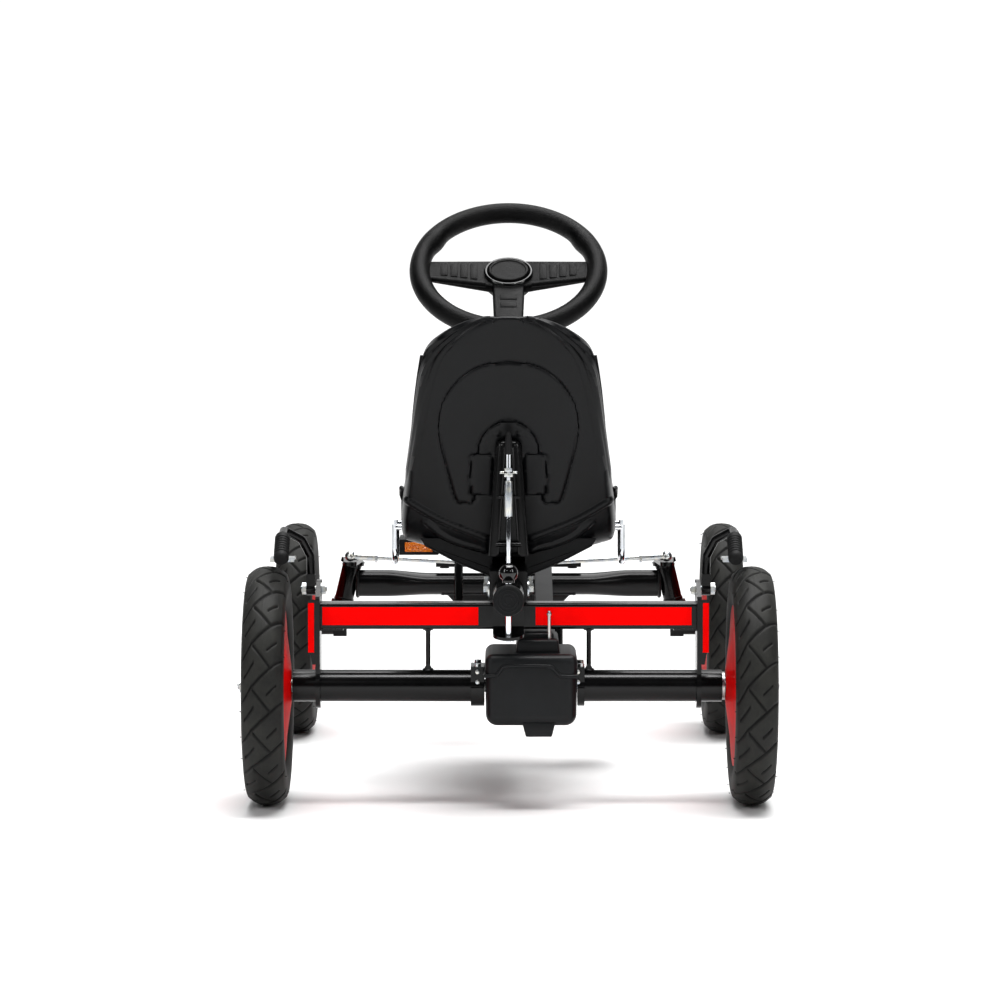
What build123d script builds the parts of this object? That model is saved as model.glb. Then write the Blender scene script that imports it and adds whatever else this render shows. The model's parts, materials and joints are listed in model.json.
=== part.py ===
from build123d import *
from math import asin, cos, hypot, pi, radians, sin
import os

# Pedal go kart with four pneumatic wheels, a chain drive to the right rear wheel, a swinging
# front axle and a sliding bucket seat.  Millimetres.  +Y is forwards, +X is to the right, +Z is up.
# The origin is on the floor, midway along the kart and on its centre line.

os.makedirs("parts", exist_ok=True)

# --- driving dimensions -----------------------------------------------------------------------
WHEELBASE = 780.0
TYRE_RADIUS = 159.0
TYRE_WIDTH = 57.0
HALF_TRACK = 322.0
TAIL_LENGTH = 205.0
REAR_Y = TAIL_LENGTH - (WHEELBASE + TYRE_RADIUS + TAIL_LENGTH) / 2
FRONT_Y = REAR_Y + WHEELBASE
AXLE_Z = TYRE_RADIUS

SHAFT_RADIUS = 8.5
BORE_CLEARANCE = 0.05
AXLE_TUBE_RADIUS = 21.2
AXLE_TUBE_END = 287.0
HOUSING_LEFT = -31.0
HOUSING_RIGHT = 91.0

MAIN_TUBE_RADIUS = 20.0
MAIN_TUBE_Z = 291.2
TUBE_WALL = 2.5
CROSSBAR_SIZE = 35.0
CROSSBAR_TOP = 271.0
CROSSBAR_HALF = 249.8
SIDE_PLATE_X = 250.0
SIDE_PLATE_THICK = 6.0

CHAIN_X = 50.0
PITCH = 12.7
ROLLER_RADIUS = 4.0
REAR_TEETH = 14
FRONT_TEETH = 28
REAR_PITCH_RADIUS = PITCH / (2 * sin(pi / REAR_TEETH))
FRONT_PITCH_RADIUS = PITCH / (2 * sin(pi / FRONT_TEETH))
CRANK_Y = REAR_Y + 450.0
CRANK_Z = 210.0
CRANK_LENGTH = 105.0
CRANK_TILT = 20.0

SWING_Z = 226.0
KINGPIN_TILT = 13.35
KINGPIN_X = 244.0
KINGPIN_Z = 228.5
KINGPIN_RADIUS = 8.0
STEER_ARM = 85.0

COLUMN_TILT = 50.0
WHEEL_HUB_Y = REAR_Y + 370.0
WHEEL_HUB_Z = 707.0
COLUMN_LENGTH = 560.0
COLUMN_RADIUS = 11.0
PITMAN_LENGTH = 45.0

SEAT_Y = REAR_Y
SEAT_SKIN = 4.5
SIDES = {"left": -1, "right": 1}


def save(part, name):
    """Label a finished piece and write it as one STEP file."""
    part.label = name
    export_step(part, f"parts/{name}.step")


def rod(start, end, radius, mode=Mode.ADD):
    """Round bar between two points, added to the part being built."""
    first, last = Vector(*start), Vector(*end)
    run = last - first
    with BuildSketch(Plane(origin=first, z_dir=run)) as section:
        Circle(radius)
    extrude(section.sketch, amount=run.length, mode=mode)


def tube(start, end, radius, wall):
    """Round tube between two points, added to the part being built."""
    rod(start, end, radius)
    rod(start, end, radius - wall, mode=Mode.SUBTRACT)


def hex_bar(start, end, radius):
    """Hexagonal bar between two points, such as a nut or a bolt head."""
    first, last = Vector(*start), Vector(*end)
    run = last - first
    with BuildSketch(Plane(origin=first, z_dir=run)) as section:
        RegularPolygon(radius, 6)
    extrude(section.sketch, amount=run.length)


def block(x_range, y_range, z_range, mode=Mode.ADD):
    """Rectangular block between three pairs of limits."""
    middle = [(low + high) / 2 for low, high in (x_range, y_range, z_range)]
    with Locations(tuple(middle)):
        Box(x_range[1] - x_range[0], y_range[1] - y_range[0], z_range[1] - z_range[0], mode=mode)


def side_shape(points, x_start, thickness, mode=Mode.ADD):
    """Plate that lies in a fore-and-aft plane, from an outline of (y, z) points."""
    with BuildSketch(Plane.YZ.offset(x_start)) as outline:
        with BuildLine():
            Polyline(*points, close=True)
        make_face()
    extrude(outline.sketch, amount=thickness, mode=mode)


# --- frame: main tube, crossbar, side plates, axle tubes --------------------------------------
TUBE_BACK = REAR_Y - 200.0
TUBE_FRONT = REAR_Y + 680.0
HITCH_Y = REAR_Y - 178.0
HITCH_PIN_RADIUS = 4.0
LOCK_Y = REAR_Y - 45.0
LOCK_RADIUS = 3.75
SEAT_TRAVEL = 80.0

with BuildPart() as main_tube:
    tube((0, TUBE_BACK, MAIN_TUBE_Z), (0, TUBE_FRONT, MAIN_TUBE_Z), MAIN_TUBE_RADIUS, TUBE_WALL)
    rod((0, HITCH_Y, 250), (0, HITCH_Y, 330), HITCH_PIN_RADIUS + BORE_CLEARANCE, Mode.SUBTRACT)
    slot_half = LOCK_RADIUS + 1.5
    slot_y = (LOCK_Y - slot_half, LOCK_Y + SEAT_TRAVEL + slot_half)
    block((-slot_half, slot_half), slot_y, (MAIN_TUBE_Z + 5, MAIN_TUBE_Z + 25), Mode.SUBTRACT)
save(main_tube.part, "main_tube")

with BuildPart() as tube_caps:
    plug_radius = MAIN_TUBE_RADIUS - TUBE_WALL
    rod((0, TUBE_BACK - 5, MAIN_TUBE_Z), (0, TUBE_BACK, MAIN_TUBE_Z), MAIN_TUBE_RADIUS + 0.3)
    rod((0, TUBE_BACK, MAIN_TUBE_Z), (0, TUBE_BACK + 10, MAIN_TUBE_Z), plug_radius)
    rim_edges = tube_caps.edges().group_by(Axis.Y)[0]
    fillet(rim_edges, 2)
    rod((0, TUBE_FRONT, MAIN_TUBE_Z), (0, TUBE_FRONT + 3, MAIN_TUBE_Z), MAIN_TUBE_RADIUS)
    rod((0, TUBE_FRONT - 12, MAIN_TUBE_Z), (0, TUBE_FRONT, MAIN_TUBE_Z), plug_radius)
save(tube_caps.part, "tube_caps")

STAY_X = 107.0
STAY_RADIUS = 3.0
CROSSBAR_BOTTOM = CROSSBAR_TOP - CROSSBAR_SIZE
with BuildPart() as crossbar:
    half = CROSSBAR_SIZE / 2
    block((-CROSSBAR_HALF, CROSSBAR_HALF), (REAR_Y - half, REAR_Y + half), (CROSSBAR_BOTTOM, CROSSBAR_TOP))
    fillet(crossbar.edges().filter_by(Axis.X), 4)
    inner = half - TUBE_WALL
    hollow_z = (CROSSBAR_BOTTOM + TUBE_WALL, CROSSBAR_TOP - TUBE_WALL)
    block((-CROSSBAR_HALF, CROSSBAR_HALF), (REAR_Y - inner, REAR_Y + inner), hollow_z, Mode.SUBTRACT)
    block((-14, 14), (REAR_Y - 12, REAR_Y + 12), (CROSSBAR_TOP - 1, CROSSBAR_TOP + 4))
    rod((0, REAR_Y - 20, MAIN_TUBE_Z), (0, REAR_Y + 20, MAIN_TUBE_Z), MAIN_TUBE_RADIUS, Mode.SUBTRACT)
    for side in SIDES.values():
        x = side * STAY_X
        rod((x, REAR_Y, AXLE_Z + AXLE_TUBE_RADIUS + 0.2), (x, REAR_Y, CROSSBAR_BOTTOM + 1), STAY_RADIUS)
        for z, lift in ((CROSSBAR_BOTTOM + 0.5, -8), (AXLE_Z + AXLE_TUBE_RADIUS + 1.2, 8)):
            with BuildSketch(Plane.XZ.offset(-REAR_Y + 1.5)) as gusset:
                with BuildLine():
                    Polyline((x - 5.8, z), (x + 5.8, z), (x + 1, z + lift), (x - 1, z + lift), close=True)
                make_face()
            extrude(gusset.sketch, amount=3)
        end_x = sorted((side * (CROSSBAR_HALF - 30), side * CROSSBAR_HALF))
        block(end_x, (REAR_Y - 10, REAR_Y + 10), (CROSSBAR_BOTTOM - 3, CROSSBAR_BOTTOM + 0.5))
save(crossbar.part, "rear_crossbar")

DECAL_THICK = 0.5
with BuildPart() as decal_strips:
    rear_face = REAR_Y - CROSSBAR_SIZE / 2
    for x_range in ((-247, -40), (36, 243)):
        block(x_range, (rear_face - DECAL_THICK, rear_face), (CROSSBAR_TOP - 29.5, CROSSBAR_TOP - 5.5))
    for side in SIDES.values():
        x_range = sorted((side * 257.5, side * 265.5))
        block(x_range, (REAR_Y - 27.7 - DECAL_THICK, REAR_Y - 27.7), (206, 272))
save(decal_strips.part, "decal_strips")

BRAKE_Y = REAR_Y + 30.0
BRAKE_Z = 286.0
BRAKE_PIN_RADIUS = 4.0
for name, side in SIDES.items():
    with BuildPart() as side_plate:
        near = side * SIDE_PLATE_X
        far = side * (SIDE_PLATE_X + SIDE_PLATE_THICK)
        x_low = min(near, far)
        outline = [(REAR_Y - 24, 150), (REAR_Y + 24, 150), (REAR_Y + 30, 240), (REAR_Y + 45, 272),
                   (REAR_Y + 45, 298), (REAR_Y + 15, 298), (REAR_Y - 25, 280)]
        side_shape(outline, x_low, SIDE_PLATE_THICK)
        rod((near, REAR_Y, AXLE_Z), (far, REAR_Y, AXLE_Z), 30)
        fillet(side_plate.edges().filter_by(Axis.X).group_by(Axis.Z)[-1], 9)
        flange = [(x_low, 276), (x_low, 190), (near + side * 10, 190), (near + side * 16, 222),
                  (near + side * 16, 276)]
        if side < 0:
            flange = [(far + SIDE_PLATE_THICK, 276), (far + SIDE_PLATE_THICK, 190)] + flange[2:]
        with BuildSketch(Plane.XZ.offset(-REAR_Y + 24.7)) as lip:
            with BuildLine():
                Polyline(*flange, close=True)
            make_face()
        extrude(lip.sketch, amount=3)
        rod((near - side * 5, REAR_Y, AXLE_Z), (far + side * 5, REAR_Y, AXLE_Z),
            AXLE_TUBE_RADIUS + 0.1, Mode.SUBTRACT)
        rod((near - side * 5, BRAKE_Y, BRAKE_Z), (far + side * 5, BRAKE_Y, BRAKE_Z),
            BRAKE_PIN_RADIUS + 0.05, Mode.SUBTRACT)
    save(side_plate.part, f"side_plate_{name}")

BEARING_RADIUS = AXLE_TUBE_RADIUS - 2.6
with BuildPart() as axle_tubes:
    for x_start, x_end in ((-AXLE_TUBE_END, -33), (93, AXLE_TUBE_END - 3)):
        tube((x_start, REAR_Y, AXLE_Z), (x_end, REAR_Y, AXLE_Z), AXLE_TUBE_RADIUS, 2.6)
save(axle_tubes.part, "rear_axle_tubes")

with BuildPart() as axle_bearings:
    for x_start, x_end in ((-286.5, -272), (-50, -36), (96, 110), (270, 288)):
        tube((x_start, REAR_Y, AXLE_Z), (x_end, REAR_Y, AXLE_Z), BEARING_RADIUS - 0.05,
             BEARING_RADIUS - 0.05 - SHAFT_RADIUS - BORE_CLEARANCE)
save(axle_bearings.part, "axle_bearings")

with BuildPart() as axle_clamps:
    for x_start, x_end in ((-50, -32), (91.8, 101)):
        middle = (x_start + x_end) / 2
        rod((x_start, REAR_Y, AXLE_Z), (x_end, REAR_Y, AXLE_Z), 27)
        block((x_start, x_end), (REAR_Y - 26, REAR_Y + 26), (AXLE_Z - 6, AXLE_Z + 28))
        rod((x_start - 5, REAR_Y, AXLE_Z), (x_end + 5, REAR_Y, AXLE_Z), AXLE_TUBE_RADIUS + 0.1, Mode.SUBTRACT)
        block((x_start, x_end), (REAR_Y - 27, REAR_Y + 27), (AXLE_Z - 0.6, AXLE_Z + 0.6), Mode.SUBTRACT)
save(axle_clamps.part, "axle_clamps")

# --- drive housing, chain case, chain ---------------------------------------------------------
HOUSING_BACK = REAR_Y - 75.0
HOUSING_FRONT = REAR_Y + 75.0
HOUSING_BOTTOM = 115.0
HOUSING_SPLIT = 175.0
HOUSING_TOP = 208.0
HOUSING_WALL = 3.0
TUNNEL_TOP = 232.0
CASE_LEFT = CHAIN_X - 12.0
CASE_RIGHT = CHAIN_X + 12.0


def axle_hole():
    """Opening in both side walls of the housing for the shaft."""
    rod((HOUSING_LEFT - 5, REAR_Y, AXLE_Z), (HOUSING_RIGHT + 5, REAR_Y, AXLE_Z), 11, Mode.SUBTRACT)


def case_mouth():
    """Opening in the front wall of the housing, where the chain runs into its case."""
    block((CASE_LEFT + 2.5, CASE_RIGHT - 2.5), (HOUSING_FRONT - 8, HOUSING_FRONT + 8), (124, 214), Mode.SUBTRACT)


with BuildPart() as housing_lower:
    block((HOUSING_LEFT, HOUSING_RIGHT), (HOUSING_BACK, HOUSING_FRONT), (HOUSING_BOTTOM, HOUSING_SPLIT))
    fillet(housing_lower.edges().filter_by(Axis.Z), 14)
    fillet(housing_lower.faces().sort_by(Axis.Z)[0].edges(), 13)
    with BuildSketch(Plane.XY.offset(HOUSING_BOTTOM + 1)) as bump:
        with Locations((42, REAR_Y - 10)):
            RectangleRounded(40, 90, 8)
    extrude(bump.sketch, amount=-14, taper=8)
    top_face = housing_lower.faces().sort_by(Axis.Z)[-1]
    offset(amount=-HOUSING_WALL, openings=top_face)
    axle_hole()
    case_mouth()
save(housing_lower.part, "housing_lower")

with BuildPart() as housing_upper:
    block((HOUSING_LEFT, HOUSING_RIGHT), (HOUSING_BACK, HOUSING_FRONT), (HOUSING_SPLIT + 0.2, HOUSING_TOP))
    fillet(housing_upper.edges().filter_by(Axis.Z), 14)
    fillet(housing_upper.faces().sort_by(Axis.Z)[-1].edges(), 9)
    block((10, 70), (HOUSING_BACK + 25, HOUSING_FRONT), (HOUSING_TOP - 2, TUNNEL_TOP))
    fillet(housing_upper.edges().filter_by(Axis.Y).group_by(Axis.Z)[-1], 5)
    offset(amount=-HOUSING_WALL, openings=housing_upper.faces().sort_by(Axis.Z)[0])
    axle_hole()
    case_mouth()
    rod((54, REAR_Y - 32, 205), (54, REAR_Y - 32, 250), 2.35, Mode.SUBTRACT)
save(housing_upper.part, "housing_upper")


def chain_loop(grow, x_start, thickness, mode=Mode.ADD):
    """Slab with the outline of the chain around both sprockets, made larger by grow."""
    with BuildSketch(Plane.YZ.offset(x_start)) as loop:
        with Locations((REAR_Y, AXLE_Z)):
            Circle(REAR_PITCH_RADIUS + grow)
        with Locations((CRANK_Y, CRANK_Z)):
            Circle(FRONT_PITCH_RADIUS + grow)
        make_hull()
    extrude(loop.sketch, amount=thickness, mode=mode)


with BuildPart() as chain_case:
    chain_loop(15.5, CASE_LEFT, CASE_RIGHT - CASE_LEFT)
    chain_loop(13.0, CASE_LEFT + 2.5, CASE_RIGHT - CASE_LEFT - 5, Mode.SUBTRACT)
    block((CASE_LEFT - 1, CASE_RIGHT + 1), (REAR_Y - 80, HOUSING_FRONT + 0.2), (90, 260), Mode.SUBTRACT)
    rod((CASE_LEFT - 2, CRANK_Y, CRANK_Z), (CASE_RIGHT + 2, CRANK_Y, CRANK_Z), 17, Mode.SUBTRACT)
save(chain_case.part, "chain_case")

with BuildPart() as chain:
    chain_loop(6.8, CHAIN_X - 4, 8)
    chain_loop(-4.3, CHAIN_X - 4, 8, Mode.SUBTRACT)
    chain_loop(5.4, CHAIN_X - 2.4, 4.8, Mode.SUBTRACT)
save(chain.part, "chain")


def sprocket(teeth, pitch_radius, centre, thickness):
    """Roller-chain sprocket with its teeth cut by the rollers."""
    with BuildSketch(Plane.YZ.offset(CHAIN_X - thickness / 2)) as outline:
        with Locations(centre):
            Circle(pitch_radius + 4.4)
            with PolarLocations(pitch_radius, teeth):
                Circle(ROLLER_RADIUS + 0.1, mode=Mode.SUBTRACT)
    extrude(outline.sketch, amount=thickness)


with BuildPart() as rear_sprocket:
    sprocket(REAR_TEETH, REAR_PITCH_RADIUS, (REAR_Y, AXLE_Z), 3)
    rod((CHAIN_X - 16, REAR_Y, AXLE_Z), (CHAIN_X + 14, REAR_Y, AXLE_Z), 16)
    rod((CHAIN_X - 17, REAR_Y, AXLE_Z), (CHAIN_X + 15, REAR_Y, AXLE_Z), SHAFT_RADIUS, Mode.SUBTRACT)
save(rear_sprocket.part, "rear_sprocket")

with BuildPart() as rear_shaft:
    rod((-350, REAR_Y, AXLE_Z), (350, REAR_Y, AXLE_Z), SHAFT_RADIUS)
    for side in SIDES.values():
        rod((side * 349, REAR_Y, AXLE_Z), (side * 361, REAR_Y, AXLE_Z), 5)
save(rear_shaft.part, "rear_axle_shaft")

with BuildPart() as axle_nuts:
    for side in SIDES.values():
        plane = Plane(origin=(side * 350.2, REAR_Y, AXLE_Z), z_dir=(side, 0, 0))
        with BuildSketch(plane) as nut:
            RegularPolygon(9.2, 6)
            Circle(5.05, mode=Mode.SUBTRACT)
        extrude(nut.sketch, amount=8)
save(axle_nuts.part, "axle_nuts")

with BuildPart() as selector_pin:
    rod((54, REAR_Y - 32, 214), (54, REAR_Y - 32, 262), 2.3)
    rod((54, REAR_Y - 32, 256), (54, REAR_Y - 32, 259), 3.4)
save(selector_pin.part, "selector_pin")

# --- tow hitch --------------------------------------------------------------------------------
with BuildPart() as hitch_bracket:
    block((-20, 20), (REAR_Y - 150, REAR_Y - 145), (252, 280))
    rod((0, REAR_Y - 160, MAIN_TUBE_Z), (0, REAR_Y - 140, MAIN_TUBE_Z), MAIN_TUBE_RADIUS, Mode.SUBTRACT)
    lip_plane = Plane(origin=(0, REAR_Y - 146, 254), x_dir=(1, 0, 0), z_dir=(0, -sin(radians(12)), cos(radians(12))))
    with BuildSketch(lip_plane) as lip:
        with Locations((0, -17)):
            Rectangle(40, 34)
        with Locations((0, -34)):
            Circle(20)
    extrude(lip.sketch, amount=-4)
    rod((0, HITCH_Y, 230), (0, HITCH_Y, 262), HITCH_PIN_RADIUS + BORE_CLEARANCE, Mode.SUBTRACT)
save(hitch_bracket.part, "hitch_bracket")

with BuildPart() as hitch_pin:
    rod((0, HITCH_Y, 236), (0, HITCH_Y, 318), HITCH_PIN_RADIUS)
    chamfer(hitch_pin.edges().group_by(Axis.Z)[0], 1)
save(hitch_pin.part, "hitch_pin")

with BuildPart() as hitch_knob:
    with Locations((0, HITCH_Y, 325)):
        Sphere(12.5)
    rod((0, HITCH_Y, 312.2), (0, HITCH_Y, 318), 8)
    rod((0, HITCH_Y, 300), (0, HITCH_Y, 318), HITCH_PIN_RADIUS, Mode.SUBTRACT)
save(hitch_knob.part, "hitch_knob")

# --- wheels -----------------------------------------------------------------------------------
RIM_SEAT_RADIUS = 101.5
RIM_FLANGE_RADIUS = 107.0
FLANGE_CLEAR = 108.0
HUB_RADIUS = 22.0


def wheel_plane(x, y):
    """Plane through a wheel's axis: local x runs along the axle, local y is the radius."""
    return Plane(origin=(x, y, AXLE_Z), x_dir=(1, 0, 0), z_dir=(0, -1, 0))


def make_tyre(name, x, y):
    half = TYRE_WIDTH / 2 - 2
    bead = 18.8
    with BuildPart() as tyre:
        with BuildSketch(wheel_plane(x, y)) as section:
            with BuildLine():
                Line((-bead, RIM_SEAT_RADIUS), (-bead, FLANGE_CLEAR))
                Spline((-bead, FLANGE_CLEAR), (-half, 130), (-20, 152), (0, TYRE_RADIUS), (20, 152),
                       (half, 130), (bead, FLANGE_CLEAR), tangents=((-0.9, 0.8), (-0.9, -0.8)))
                Line((bead, FLANGE_CLEAR), (bead, RIM_SEAT_RADIUS))
                Line((bead, RIM_SEAT_RADIUS), (bead - 5, RIM_SEAT_RADIUS))
                Spline((bead - 5, RIM_SEAT_RADIUS), (half - 4.5, 130), (0, TYRE_RADIUS - 7),
                       (4.5 - half, 130), (5 - bead, RIM_SEAT_RADIUS), tangents=((0, 1), (0, -1)))
                Line((5 - bead, RIM_SEAT_RADIUS), (-bead, RIM_SEAT_RADIUS))
            make_face()
        revolve(section.sketch, axis=Axis((x, y, AXLE_Z), (1, 0, 0)))
    save(tyre.part, name)


def make_rim(name, x, y, side, bore):
    """Moulded wheel: a dish on the inboard side, a hub, and six webs on the outboard side."""
    inboard = -side
    with BuildPart() as rim:
        with BuildSketch(wheel_plane(x, y)) as section:
            with BuildLine():
                Polyline((inboard * 33, bore), (inboard * 33, HUB_RADIUS), (inboard * 25, 80),
                         (inboard * 23, RIM_FLANGE_RADIUS), (inboard * 20, RIM_FLANGE_RADIUS),
                         (inboard * 19.2, RIM_SEAT_RADIUS - 0.2), (-inboard * 19.2, RIM_SEAT_RADIUS - 0.2),
                         (-inboard * 20, RIM_FLANGE_RADIUS), (-inboard * 23, RIM_FLANGE_RADIUS),
                         (-inboard * 22, 97.5), (inboard * 19, 97.5), (inboard * 21, 80),
                         (inboard * 28, 24), (-inboard * 24, HUB_RADIUS), (-inboard * 26, HUB_RADIUS - 2),
                         (-inboard * 26, bore), close=True)
            make_face()
        revolve(section.sketch, axis=Axis((x, y, AXLE_Z), (1, 0, 0)))
        for turn in range(6):
            angle = radians(60 * turn + 30)
            web_plane = Plane(origin=(x, y, AXLE_Z), x_dir=(1, 0, 0), z_dir=(0, -sin(angle), cos(angle)))
            with BuildSketch(web_plane) as web:
                with BuildLine():
                    Polyline((-inboard * 15, 19), (-inboard * 15, 98.5), (inboard * 19.5, 98.5),
                             (inboard * 24, 50), (inboard * 27, 19), close=True)
                make_face()
            extrude(web.sketch, amount=2.5, both=True)
    save(rim.part, name)


for name, side in SIDES.items():
    make_tyre(f"tyre_rear_{name}", side * HALF_TRACK, REAR_Y)
    make_tyre(f"tyre_front_{name}", side * HALF_TRACK, FRONT_Y)
make_rim("rim_rear_left", -HALF_TRACK, REAR_Y, -1, SHAFT_RADIUS + BORE_CLEARANCE)
make_rim("rim_rear_right", HALF_TRACK, REAR_Y, 1, SHAFT_RADIUS)
STUB_RADIUS = 7.5
for name, side in SIDES.items():
    make_rim(f"rim_front_{name}", side * HALF_TRACK, FRONT_Y, side, STUB_RADIUS + BORE_CLEARANCE)



# --- crank and pedals -------------------------------------------------------------------------
SPINDLE_RADIUS = 8.5
with BuildPart() as bottom_bracket:
    rod((-34, CRANK_Y, CRANK_Z), (34, CRANK_Y, CRANK_Z), 19)
    for x_range in ((-20, -16), (16, 20)):
        block(x_range, (CRANK_Y - 26, CRANK_Y + 26), (CRANK_Z, MAIN_TUBE_Z - 8))
    rod((-40, CRANK_Y, CRANK_Z), (40, CRANK_Y, CRANK_Z), SPINDLE_RADIUS + BORE_CLEARANCE, Mode.SUBTRACT)
    rod((0, CRANK_Y - 40, MAIN_TUBE_Z), (0, CRANK_Y + 40, MAIN_TUBE_Z), MAIN_TUBE_RADIUS, Mode.SUBTRACT)
save(bottom_bracket.part, "bottom_bracket")

with BuildPart() as crank_spindle:
    rod((-78, CRANK_Y, CRANK_Z), (78, CRANK_Y, CRANK_Z), SPINDLE_RADIUS)
save(crank_spindle.part, "crank_spindle")

with BuildPart() as chainring:
    sprocket(FRONT_TEETH, FRONT_PITCH_RADIUS, (CRANK_Y, CRANK_Z), 3)
    rod((CHAIN_X - 6, CRANK_Y, CRANK_Z), (CHAIN_X + 10, CRANK_Y, CRANK_Z), 15)
    with BuildSketch(Plane.YZ.offset(CHAIN_X - 2)) as windows:
        with Locations((CRANK_Y, CRANK_Z)):
            with PolarLocations(34, 5):
                Circle(10)
    extrude(windows.sketch, amount=4, mode=Mode.SUBTRACT)
    rod((CHAIN_X - 9, CRANK_Y, CRANK_Z), (CHAIN_X + 11, CRANK_Y, CRANK_Z), SPINDLE_RADIUS, Mode.SUBTRACT)
save(chainring.part, "chainring")

PEDAL_SPINDLE_RADIUS = 6.0
PEDAL_IN = 100.0
PEDAL_OUT = 158.0
for name, side in SIDES.items():
    reach_y = -side * CRANK_LENGTH * sin(radians(CRANK_TILT))
    reach_z = -side * CRANK_LENGTH * cos(radians(CRANK_TILT))
    pedal_y = CRANK_Y + reach_y
    pedal_z = CRANK_Z + reach_z
    arm_x = side * 66.0
    with BuildPart() as crank_arm:
        rod((arm_x, CRANK_Y, CRANK_Z), (arm_x + side * 12, CRANK_Y, CRANK_Z), 17)
        rod((arm_x, pedal_y, pedal_z), (arm_x + side * 12, pedal_y, pedal_z), 12)
        arm_plane = Plane(origin=(arm_x + side * 6, CRANK_Y, CRANK_Z), x_dir=(1, 0, 0), z_dir=(0, reach_y, reach_z))
        with BuildSketch(arm_plane) as section:
            RectangleRounded(12, 22, 3)
        extrude(section.sketch, amount=CRANK_LENGTH)
        rod((arm_x - side * 5, CRANK_Y, CRANK_Z), (arm_x + side * 20, CRANK_Y, CRANK_Z), SPINDLE_RADIUS, Mode.SUBTRACT)
        rod((arm_x + side * 4, pedal_y, pedal_z), (side * (PEDAL_OUT + 2), pedal_y, pedal_z), PEDAL_SPINDLE_RADIUS)
    save(crank_arm.part, f"crank_arm_{name}")
    with BuildPart() as pedal:
        x_range = sorted((side * PEDAL_IN, side * PEDAL_OUT))
        block(x_range, (pedal_y - 42, pedal_y + 42), (pedal_z - 12, pedal_z + 12))
        fillet(pedal.edges().filter_by(Axis.Z), 8)
        fillet(pedal.edges().group_by(Axis.Z)[-1], 3)
        rod((side * 90, pedal_y, pedal_z), (side * 175, pedal_y, pedal_z), PEDAL_SPINDLE_RADIUS + BORE_CLEARANCE,
            Mode.SUBTRACT)
    save(pedal.part, f"pedal_{name}")

# --- front axle -------------------------------------------------------------------------------
PIVOT_RADIUS = 6.0
TILT_X = sin(radians(KINGPIN_TILT))
TILT_Z = cos(radians(KINGPIN_TILT))


def on_kingpin(side, along):
    """Point on a kingpin's leaning axis, a distance along it from its middle."""
    return (side * (KINGPIN_X - TILT_X * along), FRONT_Y, KINGPIN_Z + TILT_Z * along)


with BuildPart() as front_beam:
    rod((-150, FRONT_Y, SWING_Z), (150, FRONT_Y, SWING_Z), 16.5)
    for side in SIDES.values():
        with BuildSketch(Plane.YZ.offset(side * 146)) as flat_end:
            with Locations((FRONT_Y, SWING_Z + 1)):
                SlotOverall(41, 24, rotation=90)
        extrude(flat_end.sketch, amount=side * 88)
        rod(on_kingpin(side, -29), on_kingpin(side, 29), 14)
    with BuildSketch(Plane.XZ.offset(-FRONT_Y - 6)) as yoke:
        with BuildLine():
            Polyline((-107, SWING_Z - 2), (107, SWING_Z - 2), (80, SWING_Z - 30), (-80, SWING_Z - 30), close=True)
        make_face()
    extrude(yoke.sketch, amount=12)
    for side in SIDES.values():
        rod(on_kingpin(side, -40), on_kingpin(side, 40), KINGPIN_RADIUS + BORE_CLEARANCE, Mode.SUBTRACT)
    rod((0, FRONT_Y - 30, SWING_Z), (0, FRONT_Y + 30, SWING_Z), PIVOT_RADIUS + BORE_CLEARANCE, Mode.SUBTRACT)
save(front_beam.part, "front_axle_beam")

BAR_BOTTOM = 252.5
with BuildPart() as front_head:
    arm = [(TUBE_FRONT - 35, 281), (TUBE_FRONT - 35, 305), (FRONT_Y + 24, 305), (FRONT_Y + 24, 263.5),
           (FRONT_Y - 24, 263.5), (FRONT_Y - 24, 281)]
    side_shape(arm, -24.4, 4)
    side_shape(arm, 20.4, 4)
    for y_back in (FRONT_Y - 24, FRONT_Y + 18):
        with BuildSketch(Plane.XZ.offset(-y_back)) as ear:
            with BuildLine():
                Polyline((-32, 305), (32, 305), (32, 250), (20, 208), (-20, 208), (-32, 250), close=True)
            make_face()
        extrude(ear.sketch, amount=-6)
    block((-110, 110), (FRONT_Y - 9, FRONT_Y + 9), (BAR_BOTTOM, BAR_BOTTOM + 11))
    rod((0, FRONT_Y - 40, SWING_Z), (0, FRONT_Y + 40, SWING_Z), PIVOT_RADIUS, Mode.SUBTRACT)
save(front_head.part, "front_head")

with BuildPart() as swing_buffers:
    for side in SIDES.values():
        rod((side * 97, FRONT_Y, BAR_BOTTOM - 2.4), (side * 97, FRONT_Y, BAR_BOTTOM), 7)
save(swing_buffers.part, "swing_buffers")

with BuildPart() as frame_bolts:
    rod((0, FRONT_Y - 34, SWING_Z), (0, FRONT_Y + 32, SWING_Z), PIVOT_RADIUS)
    for y_near, y_far in ((FRONT_Y - 32, FRONT_Y - 24.2), (FRONT_Y + 24.2, FRONT_Y + 32)):
        hex_bar((0, y_near, SWING_Z), (0, y_far, SWING_Z), 11)
    for side in SIDES.values():
        rod((side * 243, BRAKE_Y, BRAKE_Z), (side * 277, BRAKE_Y, BRAKE_Z), BRAKE_PIN_RADIUS)
        for x_near, x_far in ((244.5, 249.8), (270.5, 276)):
            hex_bar((side * x_near, BRAKE_Y, BRAKE_Z), (side * x_far, BRAKE_Y, BRAKE_Z), 8)
    for x_bolt in (-41, 96.4):
        for offset_y in (-23.5, 23.5):
            rod((x_bolt, REAR_Y + offset_y, AXLE_Z + 28), (x_bolt, REAR_Y + offset_y, AXLE_Z + 32), 4.5)
save(frame_bolts.part, "frame_bolts")

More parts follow.
